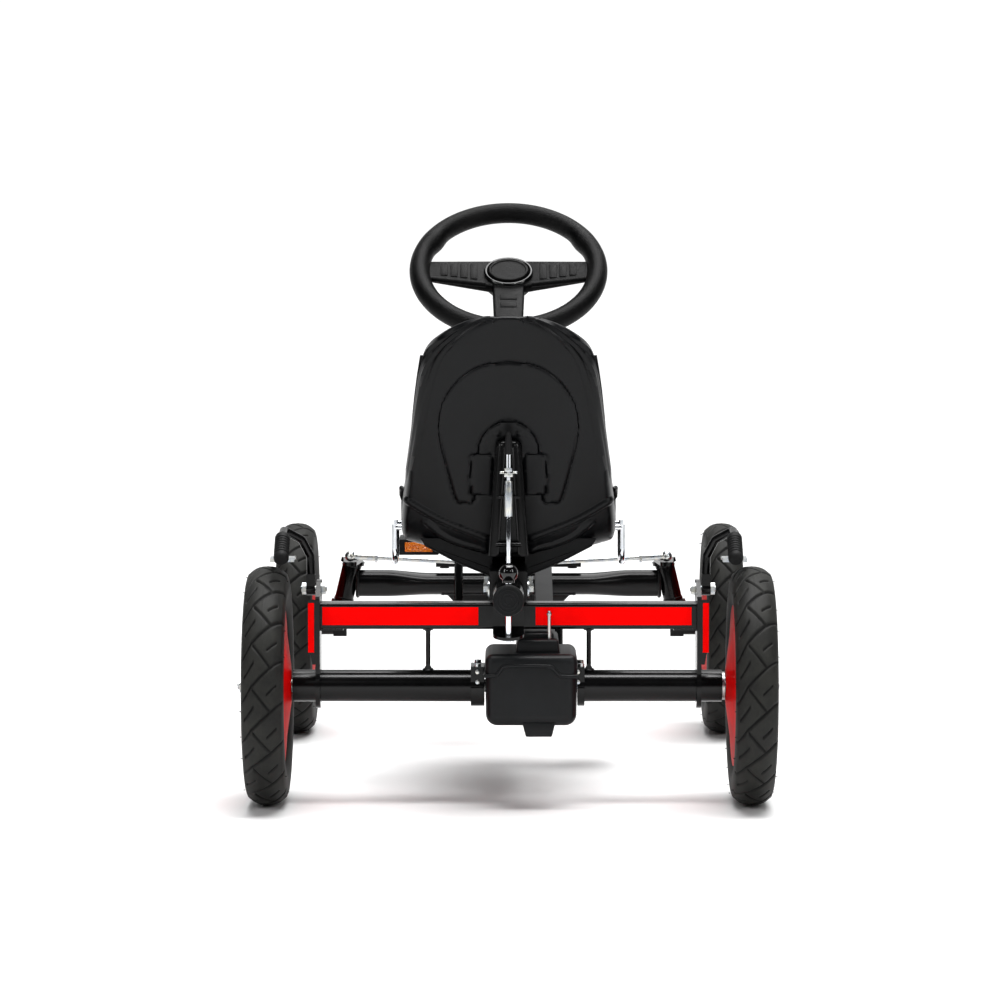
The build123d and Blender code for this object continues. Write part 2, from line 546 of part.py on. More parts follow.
BALL_Y = FRONT_Y - STEER_ARM
BALL_X = 237.0
TIE_ROD_GAP = 10.5
TIE_ROD_DROP = 12.0
for name, side in SIDES.items():
    with BuildPart() as knuckle:
        rod(on_kingpin(side, -40), on_kingpin(side, 42), KINGPIN_RADIUS)
        rod(on_kingpin(side, -35), on_kingpin(side, -29.4), 18)
        rod(on_kingpin(side, 29.4), on_kingpin(side, 35.4), 18)
        drop_x = sorted((side * 246, side * 266))
        block(drop_x, (FRONT_Y - 11, FRONT_Y + 11), (AXLE_Z - 12, 196))
        rod((side * 256, FRONT_Y, AXLE_Z), (side * 352, FRONT_Y, AXLE_Z), STUB_RADIUS)
        rod((side * 264, FRONT_Y, AXLE_Z), (side * 288.5, FRONT_Y, AXLE_Z), 10.5)
        top = on_kingpin(side, 36)
        with BuildSketch(Plane.XY.offset(top[2] - 3)) as arm:
            with BuildLine():
                Polyline((top[0] - 15, FRONT_Y - 8), (top[0] + 15, FRONT_Y - 8),
                         (side * BALL_X + 9, BALL_Y), (side * BALL_X - 9, BALL_Y), close=True)
            make_face()
        extrude(arm.sketch, amount=6)
        rod((side * BALL_X, BALL_Y, top[2] - 3), (side * BALL_X, BALL_Y, top[2] + 3), 10)
        rod(on_kingpin(side, -29.2), on_kingpin(side, 29.2), 12, Mode.SUBTRACT)
        rod(on_kingpin(side, -30), on_kingpin(side, 30), KINGPIN_RADIUS)
    save(knuckle.part, f"knuckle_{name}")
    ball = Vector(side * BALL_X, BALL_Y, top[2] + 3.6 + 8)
    inner_end = Vector(side * TIE_ROD_GAP, BALL_Y, ball.Z - TIE_ROD_DROP)
    along = (ball - inner_end).normalized()
    with BuildPart() as tie_rod:
        rod(inner_end, ball, 3.5)
        rod(inner_end, inner_end + along * 30, 5.5)
        rod(ball - along * 37, ball, 5.5)
        hex_bar(ball - along * 41, ball - along * 37, 7.5)
        with Locations(Location(ball, (0, 0, 90))):
            Sphere(8)
    save(tie_rod.part, f"tie_rod_{name}")

# --- steering column --------------------------------------------------------------------------
LEAN = radians(COLUMN_TILT)
COLUMN_DIR = Vector(0, -cos(LEAN), sin(LEAN))
PITMAN_DIR = Vector(0, -sin(LEAN), -cos(LEAN))
HUB = Vector(0, WHEEL_HUB_Y, WHEEL_HUB_Z)


def on_column(down, out=0.0):
    """Point on the steering column, a distance below the wheel's centre and away from its axis."""
    return HUB - COLUMN_DIR * down + PITMAN_DIR * out


with BuildPart() as column:
    rod(on_column(COLUMN_LENGTH), on_column(10), COLUMN_RADIUS)
    pitman_start = on_column(COLUMN_LENGTH)
    pitman_plane = Plane(origin=pitman_start, x_dir=(1, 0, 0), z_dir=COLUMN_DIR)
    with BuildSketch(pitman_plane) as pitman:
        Circle(15)
        with Locations((0, -PITMAN_LENGTH / 2)):
            Rectangle(12, PITMAN_LENGTH)
        with Locations((0, -PITMAN_LENGTH)):
            Circle(6.5)
    extrude(pitman.sketch, amount=6)
    stud_foot = on_column(COLUMN_LENGTH - 3, PITMAN_LENGTH)
    rod(stud_foot, stud_foot + Vector(0, 0, 18), 6)
save(column.part, "steering_column")

SLEEVE_TOP = 75.0
SLEEVE_BOTTOM = 525.0
with BuildPart() as mast:
    rod(on_column(SLEEVE_BOTTOM), on_column(SLEEVE_TOP), 16)
    block((-20.3, 20.3), (TUBE_FRONT + 6, TUBE_FRONT + 42), (286, 303))
    post_top = on_column(340)
    rod((0, post_top.Y - 20, MAIN_TUBE_Z + 10), (0, post_top.Y, post_top.Z), 11)
    rod(on_column(SLEEVE_BOTTOM + 60), on_column(SLEEVE_TOP - 20), 13.5, Mode.SUBTRACT)
    rod((0, REAR_Y, MAIN_TUBE_Z), (0, TUBE_FRONT + 3.2, MAIN_TUBE_Z), MAIN_TUBE_RADIUS, Mode.SUBTRACT)
save(mast.part, "steering_mast")

with BuildPart() as bushes:
    for down in (SLEEVE_TOP, SLEEVE_BOTTOM - 25):
        tube(on_column(down), on_column(down + 25), 13.45, 13.45 - COLUMN_RADIUS - BORE_CLEARANCE)
    tube(on_column(SLEEVE_TOP - 3), on_column(SLEEVE_TOP - 0.1), 16, 16 - COLUMN_RADIUS - BORE_CLEARANCE)
save(bushes.part, "column_bushes")

RIM_RING_RADIUS = 127.0
RIM_GRIP_RADIUS = 14.0
with BuildPart() as steering_wheel:
    wheel_face = Plane(origin=HUB, x_dir=(1, 0, 0), z_dir=COLUMN_DIR)
    with BuildSketch(Plane(origin=HUB, x_dir=(1, 0, 0), z_dir=-PITMAN_DIR)) as grip:
        with Locations((RIM_RING_RADIUS, 0)):
            Ellipse(RIM_GRIP_RADIUS - 1, RIM_GRIP_RADIUS)
    revolve(grip.sketch, axis=Axis(HUB, COLUMN_DIR))
    with BuildSketch(wheel_face.offset(-26)) as hub_disc:
        Circle(32)
    extrude(hub_disc.sketch, amount=22, taper=6)
    for turn, width in ((0, 30), (180, 30), (270, 34)):
        reach = RIM_RING_RADIUS - 2
        angle = radians(turn)
        spoke_plane = Plane(origin=HUB - COLUMN_DIR * 12, z_dir=Vector(cos(angle), 0, 0) + PITMAN_DIR * -sin(angle),
                            x_dir=COLUMN_DIR)
        with BuildSketch(spoke_plane.offset(16)) as root:
            RectangleRounded(14, width + 14, 5)
        with BuildSketch(spoke_plane.offset(reach)) as tip:
            with Locations((10, 0)):
                RectangleRounded(10, width, 4)
        loft([root.sketch, tip.sketch])
    rod(on_column(60), on_column(10), 18)
    rod(on_column(70), on_column(10), COLUMN_RADIUS, Mode.SUBTRACT)
save(steering_wheel.part, "steering_wheel")

with BuildPart() as badge:
    with BuildSketch(wheel_face.offset(-4)) as oval:
        Ellipse(30, 24)
    extrude(oval.sketch, amount=5)
    fillet(badge.edges().group_by(SortBy.LENGTH)[-1], 1)
save(badge.part, "wheel_badge")

# --- seat -------------------------------------------------------------------------------------
SADDLE_CLEARANCE = 0.3
PAN_Z = 318.0
with BuildPart() as carriage:
    block((-25, 25), (SEAT_Y - 70, SEAT_Y + 130), (279, PAN_Z - 0.5))
    fillet(carriage.edges().filter_by(Axis.Y), 3)
    saddle_y = (SEAT_Y - 90, SEAT_Y + 150)
    rod((0, saddle_y[0], MAIN_TUBE_Z), (0, saddle_y[1], MAIN_TUBE_Z), MAIN_TUBE_RADIUS + SADDLE_CLEARANCE,
        Mode.SUBTRACT)
    block((-13, 13), saddle_y, (270, 285), Mode.SUBTRACT)
    block((-30, 30), (SEAT_Y - 8, SEAT_Y + 80), (270, 296), Mode.SUBTRACT)
    rod((0, LOCK_Y, 300), (0, LOCK_Y, 330), LOCK_RADIUS + BORE_CLEARANCE, Mode.SUBTRACT)
save(carriage.part, "seat_carriage")

with BuildPart() as seat_bolts:
    for side in SIDES.values():
        for y in (SEAT_Y - 52, SEAT_Y + 105):
            rod((side * 25.1, y, 293), (side * 27.1, y, 293), 13)
            hex_bar((side * 27.1, y, 293), (side * 33.1, y, 293), 7.5)
save(seat_bolts.part, "seat_bolts")


def seat_section(y, z, lean, half_width, wing, belly, spread):
    """Corners of a ring across the seat: wings at both sides, a shallow V between them.

    lean is the direction of the seat's surface in degrees above the horizontal, looking back
    along the pan and up the backrest.
    """
    inward = Vector(0, sin(radians(lean)), cos(radians(lean)))
    low = half_width - SEAT_SKIN
    half = [(spread, 0), (half_width, belly), (half_width, wing), (low, wing), (low, belly + SEAT_SKIN),
            (spread, SEAT_SKIN)]
    ring = half + [(-x, height) for x, height in reversed(half)]
    return [Vector(x, y, z) + inward * height for x, height in ring]


SEAT_STATIONS = (
    (310, 352, -18, 130, 22, 14, 40),
    (270, 336, -14, 138, 34, 20, 36),
    (180, 322, -4, 143, 62, 26, 32),
    (100, 318.5, 0, 143, 92, 30, 30),
    (60, 324, 30, 143, 104, 30, 40),
    (36, 345, 60, 143, 100, 26, 50),
    (20, 385, 71, 140, 86, 20, 60),
    (-8, 470, 72, 128, 66, 16, 66),
    (-36, 558, 72, 117, 48, 12, 66),
    (-50, 602, 72, 109, 30, 8, 60),
    (-58, 627, 72, 84, 12, 6, 45),
    (-62.5, 641, 72, 58, 10, 5, 30),
    (-65, 649, 72, 30, 8, 3, 14),
)


def flat_face(*corners):
    """Flat face through corner points."""
    return Face(Wire.make_polygon(corners, close=True))


rings = [seat_section(SEAT_Y + y, z, *shape) for y, z, *shape in SEAT_STATIONS]
skin = []
for ring, following in zip(rings, rings[1:]):
    for i in range(len(ring)):
        j = (i + 1) % len(ring)
        skin.append(flat_face(ring[i], ring[j], following[j]))
        skin.append(flat_face(ring[i], following[j], following[i]))
skin.append(flat_face(*rings[0]))
skin.append(flat_face(*rings[-1]))
save(Solid(Shell(skin)), "seat_shell")

HANDLE_X = 152.0
with BuildPart() as seat_handles:
    for side in SIDES.values():
        x = side * HANDLE_X
        with BuildLine(Plane.YZ.offset(x)) as bend:
            FilletPolyline((SEAT_Y + 30, 372), (SEAT_Y + 30, 321), (SEAT_Y + 110, 321), (SEAT_Y + 110, 372), radius=18)
        with BuildSketch(Plane(origin=(x, SEAT_Y + 30, 372), z_dir=(0, 0, -1))) as wire:
            Circle(4)
        sweep(wire.sketch, path=bend.line)
        for y in (SEAT_Y + 30, SEAT_Y + 110):
            rod((side * (143.1), y, 368), (x, y, 368), 4)
save(seat_handles.part, "seat_handles")

with BuildPart() as lock_rod:
    rod((0, LOCK_Y, 303), (0, LOCK_Y, 478), LOCK_RADIUS)
    rod((0, LOCK_Y, 470), (0, LOCK_Y, 500), 6)
    fillet(lock_rod.edges().group_by(Axis.Z)[-1], 2.5)
    rod((0, LOCK_Y, 440), (0, LOCK_Y, 444), 6.5)
save(lock_rod.part, "seat_lock_rod")

with BuildPart() as lock_guide:
    tube((0, LOCK_Y, 388), (0, LOCK_Y, 424), 5.25, 5.25 - LOCK_RADIUS - BORE_CLEARANCE)
    block((-2, 2), (LOCK_Y + 5, SEAT_Y + 12.2), (392, 408))
save(lock_guide.part, "seat_lock_guide")

# --- brake levers -----------------------------------------------------------------------------
SHOE_GAP = 9.6
for name, side in SIDES.items():
    with BuildPart() as lever:
        route = [(side * x, REAR_Y + y, z) for x, y, z in
                 ((264, 30, 300), (265, 30, 330), (276, 24, 352), (299, 8, 366), (299, -20, 361), (299, -24, 358))]
        with BuildLine() as bend:
            FilletPolyline(*route[:5], radius=8)
        with BuildSketch(Plane(origin=bend.line @ 0, z_dir=bend.line % 0)) as section:
            Circle(5.5)
        sweep(section.sketch, path=bend.line)
        lever_low = sorted((side * 258.5, side * 270))
        block(lever_low, (BRAKE_Y - 8, BRAKE_Y + 8), (BRAKE_Z, 306))
        rod((side * 258.5, BRAKE_Y, BRAKE_Z), (side * 270, BRAKE_Y, BRAKE_Z), 9)
        rod((side * 250, BRAKE_Y, BRAKE_Z), (side * 280, BRAKE_Y, BRAKE_Z), BRAKE_PIN_RADIUS + BORE_CLEARANCE,
            Mode.SUBTRACT)
        grip_start, grip_end = Vector(*route[4]), Vector(side * 299, REAR_Y - 60, 334)
        rod(grip_start, grip_end, 5.5)
    save(lever.part, f"brake_lever_{name}")
    with BuildPart() as grip:
        run = (grip_end - grip_start).normalized()
        rod(grip_start + run * 2, grip_end + run * 4, 10.5)
        fillet(grip.edges().filter_by(GeomType.CIRCLE), 2.5)
        rod(grip_start - run * 5, grip_end, 5.5, Mode.SUBTRACT)
    save(grip.part, f"brake_grip_{name}")
    with BuildPart() as shoe:
        shoe_x = sorted((side * 284, side * 316))
        with BuildSketch(Plane.YZ.offset(shoe_x[0])) as arc_plate:
            with Locations((REAR_Y, AXLE_Z)):
                Circle(TYRE_RADIUS + SHOE_GAP + 4)
                Circle(TYRE_RADIUS + SHOE_GAP, mode=Mode.SUBTRACT)
            with Locations((REAR_Y + 4, AXLE_Z + TYRE_RADIUS + SHOE_GAP)):
                Rectangle(56, 40, mode=Mode.INTERSECT)
        extrude(arc_plate.sketch, amount=shoe_x[1] - shoe_x[0])
        web_x = sorted((side * 296, side * 302))
        block(web_x, (REAR_Y - 14, REAR_Y + 8), (AXLE_Z + TYRE_RADIUS + SHOE_GAP + 2, 360))
        for first, last in zip(route[1:5], route[2:5] + [tuple(grip_end)]):
            rod(first, last, 6.4, Mode.SUBTRACT)
    save(shoe.part, f"brake_shoe_{name}")
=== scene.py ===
"""Looks of a pedal go kart: its tyres, seat, steering wheel, small fittings, finishes and studio."""
import json
import math

import bmesh
import bpy
import numpy as np
from mathutils import Matrix, Vector


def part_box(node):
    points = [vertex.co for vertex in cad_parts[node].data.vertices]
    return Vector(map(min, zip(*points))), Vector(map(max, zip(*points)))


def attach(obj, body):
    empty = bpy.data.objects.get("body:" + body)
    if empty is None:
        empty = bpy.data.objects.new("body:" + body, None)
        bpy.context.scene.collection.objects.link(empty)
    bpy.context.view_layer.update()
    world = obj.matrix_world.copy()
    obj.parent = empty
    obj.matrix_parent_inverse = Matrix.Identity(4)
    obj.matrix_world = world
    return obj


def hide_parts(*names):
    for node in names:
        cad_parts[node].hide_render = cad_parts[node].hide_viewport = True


bl_info = {
    "name": "Pedal go kart",
    "version": (1, 0, 0),
    "blender": (4, 5, 0),
    "location": "3D View > Sidebar > Go Kart",
    "description": "Builds the tyres, seat, steering wheel and finishes of a pedal go kart",
    "category": "Object",
}

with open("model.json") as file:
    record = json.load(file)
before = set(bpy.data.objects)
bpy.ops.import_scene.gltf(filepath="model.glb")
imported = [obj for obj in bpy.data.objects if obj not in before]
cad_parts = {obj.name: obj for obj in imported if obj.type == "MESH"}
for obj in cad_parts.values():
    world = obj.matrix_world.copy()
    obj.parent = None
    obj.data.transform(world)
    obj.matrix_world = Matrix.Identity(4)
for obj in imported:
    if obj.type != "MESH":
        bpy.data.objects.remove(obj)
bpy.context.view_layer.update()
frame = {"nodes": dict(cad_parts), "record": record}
SIDES = {"left": -1, "right": 1}
MM = 0.001


def box_mm(node):
    """Lowest and highest corners of a frame part, in millimetres."""
    low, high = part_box(node)
    return low * 1000, high * 1000


def centre_mm(node):
    """Middle of a frame part's box, in millimetres."""
    low, high = box_mm(node)
    return (low + high) / 2


# --- settings -----------------------------------------------------------------------------------


class KartTyreSettings(bpy.types.PropertyGroup):
    """Tread pattern of the four tyres."""

    repeats: bpy.props.IntProperty(name="Tread repeats", default=17, min=8, max=40,
                                   description="Repeats of the tread pattern round a tyre")
    groove_width: bpy.props.FloatProperty(name="Groove width", description="Width of the long tread grooves",
                                          default=0.0034, min=0.001, max=0.006, unit="LENGTH")
    groove_depth: bpy.props.FloatProperty(name="Groove depth", description="Depth of the tread grooves",
                                          default=0.0026, min=0.0005, max=0.004, unit="LENGTH")


class KartSeatSettings(bpy.types.PropertyGroup):
    """Wall and relief of the moulded seat."""

    wall: bpy.props.FloatProperty(name="Wall", description="Thickness of the moulded seat",
                                  default=0.004, min=0.002, max=0.006, unit="LENGTH")
    relief: bpy.props.FloatProperty(name="Relief", default=0.0022, min=0.0, max=0.004, unit="LENGTH",
                                    description="Height of the ribs and panel lines on the seat")


class KartWheelSettings(bpy.types.PropertyGroup):
    """Steering wheel's rim."""

    rim_thickness: bpy.props.FloatProperty(name="Rim thickness", default=0.027, min=0.02, max=0.028, unit="LENGTH",
                                           description="Thickness of the steering wheel's rim")


class KartColourSettings(bpy.types.PropertyGroup):
    """Colours a user would change, as plain display colours."""

    wheel_red: bpy.props.FloatVectorProperty(name="Wheel red", description="Colour of the moulded wheels",
                                             default=(0.86, 0.0, 0.0), subtype="COLOR_GAMMA", min=0, max=1)
    strip_red: bpy.props.FloatVectorProperty(name="Strip red", default=(1.0, 0.0, 0.0), subtype="COLOR_GAMMA",
                                             min=0, max=1, description="Colour of the strips on the frame")


# --- small helpers ------------------------------------------------------------------------------


def linear(colour):
    """A display colour, as a hex word or three values from 0 to 1, as linear RGBA."""
    if isinstance(colour, str):
        colour = [int(colour[i:i + 2], 16) / 255 for i in (1, 3, 5)]
    return [c / 12.92 if c <= 0.04045 else ((c + 0.055) / 1.055) ** 2.4 for c in colour] + [1.0]


def add(tree, kind, settings=None, values=None, links=None):
    """Adds a node with its settings, its input values and the outputs linked into it."""
    node = tree.nodes.new(kind)
    for key, value in (settings or {}).items():
        setattr(node, key, value)
    for key, value in (values or {}).items():
        node.inputs[key].default_value = value
    for key, source in (links or {}).items():
        tree.links.new(source, node.inputs[key])
    return node


def start_material(name, colour, roughness, metallic=0.0, **sockets):
    """A material with its shader's constant values set. Returns it with its nodes and its shader."""
    material = bpy.data.materials.new(name)
    material.use_nodes = True
    material.diffuse_color = linear(colour)
    tree = material.node_tree
    shader = tree.nodes["Principled BSDF"]
    shader.inputs["Base Color"].default_value = linear(colour)
    shader.inputs["Roughness"].default_value = roughness
    shader.inputs["Metallic"].default_value = metallic
    for key, value in sockets.items():
        shader.inputs[key.replace("_", " ")].default_value = value
    return material, tree, shader


def grain(tree, size_mm, depth_mm, strength, kind="noise", detail=3.0):
    """Surface height from a pattern of a real size. Returns the bump node and the pattern's coordinates."""
    place = add(tree, "ShaderNodeTexCoord").outputs["Object"]
    scale = 1000 / size_mm
    if kind == "noise":
        pattern = add(tree, "ShaderNodeTexNoise", values={"Scale": scale, "Detail": detail, "Roughness": 0.55},
                      links={"Vector": place})
        height = pattern.outputs["Fac"]
    else:
        pattern = add(tree, "ShaderNodeTexVoronoi", {"feature": "DISTANCE_TO_EDGE"}, {"Scale": scale},
                      {"Vector": place})
        walls = add(tree, "ShaderNodeMapRange", values={"From Max": 0.22},
                    links={"Value": pattern.outputs["Distance"]})
        height = walls.outputs["Result"]
    bump = add(tree, "ShaderNodeBump", values={"Strength": strength, "Distance": depth_mm * MM},
               links={"Height": height})
    return bump, place


def vary(tree, shader, place, size_mm, colours, roughness):
    """Mottles a shader's colour and roughness with soft patches of a real size."""
    patches = add(tree, "ShaderNodeTexNoise", links={"Vector": place},
                  values={"Scale": 1000 / size_mm, "Detail": 4.0, "Roughness": 0.6})
    ramp = add(tree, "ShaderNodeValToRGB", links={"Fac": patches.outputs["Fac"]})
    ramp.color_ramp.elements[0].position, ramp.color_ramp.elements[1].position = 0.32, 0.7
    for stop, colour in zip(ramp.color_ramp.elements, colours):
        stop.color = linear(colour)
    tree.links.new(ramp.outputs["Color"], shader.inputs["Base Color"])
    spread = add(tree, "ShaderNodeMapRange", values={"To Min": roughness[0], "To Max": roughness[1]},
                 links={"Value": patches.outputs["Fac"]})
    tree.links.new(spread.outputs["Result"], shader.inputs["Roughness"])


def to_piece(bm, name, body, material, nodes=(), smooth_angle=38):
    """Turns a mesh drawn in millimetres into a finished piece that rides on a body. Its slot is its material's."""
    bmesh.ops.scale(bm, vec=(MM, MM, MM), verts=bm.verts)
    mesh = bpy.data.meshes.new(name)
    bm.to_mesh(mesh)
    bm.free()
    mesh.shade_smooth()
    mesh.set_sharp_from_angle(angle=math.radians(smooth_angle))
    piece = bpy.data.objects.new(name, mesh)
    bpy.context.scene.collection.objects.link(piece)
    mesh.materials.append(MATERIALS[material])
    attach(piece, body)
    if nodes:
        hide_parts(*nodes)
    return piece


def add_mesh(bm, other):
    """Adds one mesh being drawn to another, and frees it."""
    held = bpy.data.meshes.new("held")
    other.to_mesh(held)
    other.free()
    bm.from_mesh(held)
    bpy.data.meshes.remove(held)


def aim(direction):
    """Turn that takes the Z axis to a direction."""
    return Vector((0, 0, 1)).rotation_difference(Vector(direction)).to_matrix().to_4x4()


def edges_of(verts):
    """Every edge that meets some corners, once each."""
    return list({e for v in verts for e in v.link_edges})


def upright(edge):
    """Whether an edge climbs by more than a millimetre."""
    return abs(edge.verts[0].co.z - edge.verts[1].co.z) > 1


def all_round(count):
    """Angles evenly spaced round one turn."""
    return np.linspace(0, math.tau, count + 1)[:-1]


def beads(count, radius, swell):
    """Radii of a weld bead: every other point is thicker."""
    return [radius + swell * (i % 2) for i in range(count)]


def skin(bm, rings):
    """Solid through some rings of corners, closed at both ends."""
    for one, two in zip(rings, rings[1:]):
        for i in range(len(one)):
            following = (i + 1) % len(one)
            bm.faces.new((one[i], one[following], two[following], two[i]))
    bm.faces.new(rings[0])
    bm.faces.new(rings[-1])


def round_edges(bm, edges, offset, segments):
    """Rounds edges of a mesh being drawn."""
    bmesh.ops.bevel(bm, geom=edges, offset=offset, segments=segments, profile=0.5, affect="EDGES", material=-1)


def bar(bm, start, end, radius, segments=32, end_radius=None, bevel=0.0):
    """Solid round bar between two points, with its end edges rounded."""
    start, end = Vector(start), Vector(end)
    place = Matrix.Translation((start + end) / 2) @ aim(end - start)
    made = bmesh.ops.create_cone(bm, cap_ends=True, segments=segments, radius1=radius,
                                 radius2=radius if end_radius is None else end_radius,
                                 depth=(end - start).length, matrix=place)
    if bevel:
        rims = [e for v in made["verts"] for e in v.link_edges if any(len(f.verts) > 4 for f in e.link_faces)]
        round_edges(bm, list(set(rims)), bevel, 3)
    return made["verts"]


def slab(bm, low, high, bevel=0.0, segments=3):
    """Block between two corners with all its edges rounded."""
    low, high = Vector(low), Vector(high)
    place = Matrix.Translation((low + high) / 2) @ Matrix.Diagonal((*(high - low), 1))
    made = bmesh.ops.create_cube(bm, size=1, matrix=place)
    if bevel:
        round_edges(bm, edges_of(made["verts"]), bevel, segments)
    return made["verts"]


def hexagon(bm, start, end, radius, bevel=0.8):
    """Hexagon nut or bolt head between two points."""
    return bar(bm, start, end, radius, 6, bevel=bevel)


def lathe(bm, profile, centre, axis, steps=96):
    """Closed solid of turning: profile is a closed loop of (distance along the axis, radius)."""
    turn = aim(axis)
    place = Matrix.Translation(Vector(centre)) @ turn
    corners = [bm.verts.new(place @ Vector((radius, 0, along))) for along, radius in profile]
    edges = [bm.edges.new((a, b)) for a, b in zip(corners, corners[1:] + corners[:1])]
    bmesh.ops.spin(bm, geom=corners + edges, cent=Vector(centre), axis=Vector(axis).normalized(),
                   angle=math.tau, steps=steps, use_merge=True)
    bmesh.ops.remove_doubles(bm, verts=bm.verts, dist=1e-4)
    bmesh.ops.recalc_face_normals(bm, faces=bm.faces)


def wire(bm, points, radius, segments=14, closed=False):
    """Round wire along a line of points."""
    points = [Vector(p) for p in points]
    count = len(points)
    rings = []
    side = None
    for i, point in enumerate(points):
        ahead = points[(i + 1) % count] if closed or i + 1 < count else point
        behind = points[i - 1] if closed or i else point
        along = (ahead - behind).normalized()
        side = (along.orthogonal() if side is None else side - along * side.dot(along)).normalized()
        other = along.cross(side)
        size = radius[i] if isinstance(radius, (list, tuple)) else radius
        place = Matrix.Translation(point) @ Matrix((side, other, along)).transposed().to_4x4()
        ring = bmesh.ops.create_circle(bm, segments=segments, radius=size, matrix=place)
        rings.append(edges_of(ring["verts"]))
    pairs = zip(rings, rings[1:] + (rings[:1] if closed else []))
    for first, second in pairs:
        bmesh.ops.bridge_loops(bm, edges=first + second)
    if not closed:
        for ring in (rings[0], rings[-1]):
            bmesh.ops.edgeloop_fill(bm, edges=ring)
    bmesh.ops.recalc_face_normals(bm, faces=bm.faces)


def rounded(points, passes=3, closed=False):
    """Cuts the corners off a line of points until it bends smoothly. Open ends stay."""
    points = np.array(points, float)
    for _ in range(passes):
        following = np.roll(points, -1, 0) if closed else points[1:]
        current = points if closed else points[:-1]
        cut = np.empty((len(current) * 2, points.shape[1]))
        cut[0::2] = current * 0.75 + following * 0.25
        cut[1::2] = current * 0.25 + following * 0.75
        points = cut if closed else np.vstack([points[:1], cut, points[-1:]])
    return points


def spaced(points, count, columns=None):
    """The same line with its points evenly spaced. columns are the ones that measure its length."""
    points = np.array(points, float)
    measured = points[:, columns] if columns else points
    along = np.concatenate([[0], np.cumsum(np.linalg.norm(np.diff(measured, axis=0), axis=1))])
    at = np.linspace(0, along[-1], count)
    return np.stack([np.interp(at, along, points[:, i]) for i in range(points.shape[1])], 1)


# --- materials ----------------------------------------------------------------------------------


def make_finish(name, colour, roughness, height, patches, metallic=0.0, **sockets):
    """A finish with its surface height, and its patches of colour and roughness."""
    material, tree, shader = start_material(name, colour, roughness, metallic, **sockets)
    bump, place = grain(tree, *height)
    vary(tree, shader, place, *patches)
    tree.links.new(bump.outputs["Normal"], shader.inputs["Normal"])
    return material


def tyre_rubber():
    """Vulcanised tyre rubber: grey-black and matt, with painted shade making it darker inside the tread grooves."""
    material = make_finish("vulcanised_tyre_rubber", "#242423", 0.6, (1.2, 0.12, 0.5, "noise", 6.0),
                           (28, ("#1f1f1e", "#2f2f2c"), (0.5, 0.7)), Specular_IOR_Level=0.3)
    tree = material.node_tree
    base = tree.nodes["Principled BSDF"].inputs["Base Color"]
    groove = add(tree, "ShaderNodeAttribute", {"attribute_name": "groove"})
    # Painted shade: near black is mixed into the colour as deep as the tread is cut, standing in for the shade in
    # the grooves.
    dark = add(tree, "ShaderNodeMix", {"data_type": "RGBA"}, {"B": linear("#060606")},
               {"Factor": groove.outputs["Fac"], "A": base.links[0].from_socket})
    tree.links.new(dark.outputs["Result"], base)
    return material


def red_nylon():
    """Wheels: injection-moulded nylon, gloss red, with faint flow marks."""
    red = bpy.context.scene.kart_colours.wheel_red
    return make_finish("moulded_nylon_red", red, 0.5, (1.5, 0.03, 0.3),
                       (50, ([c * 0.8 for c in red], red), (0.44, 0.56)), Specular_IOR_Level=0.06)


def red_film():
    """Strips on the frame: cast vinyl film, smooth red with a slight ripple."""
    red = bpy.context.scene.kart_colours.strip_red
    return make_finish("cast_vinyl_film_red", red, 0.42, (7, 0.03, 0.3),
                       (40, ([c * 0.95 for c in red], red), (0.3, 0.4)), Specular_IOR_Level=0.05)


COLOUR_FINISHES = {"tyre_rubber": tyre_rubber, "rim_red": red_nylon, "decal_red": red_film}

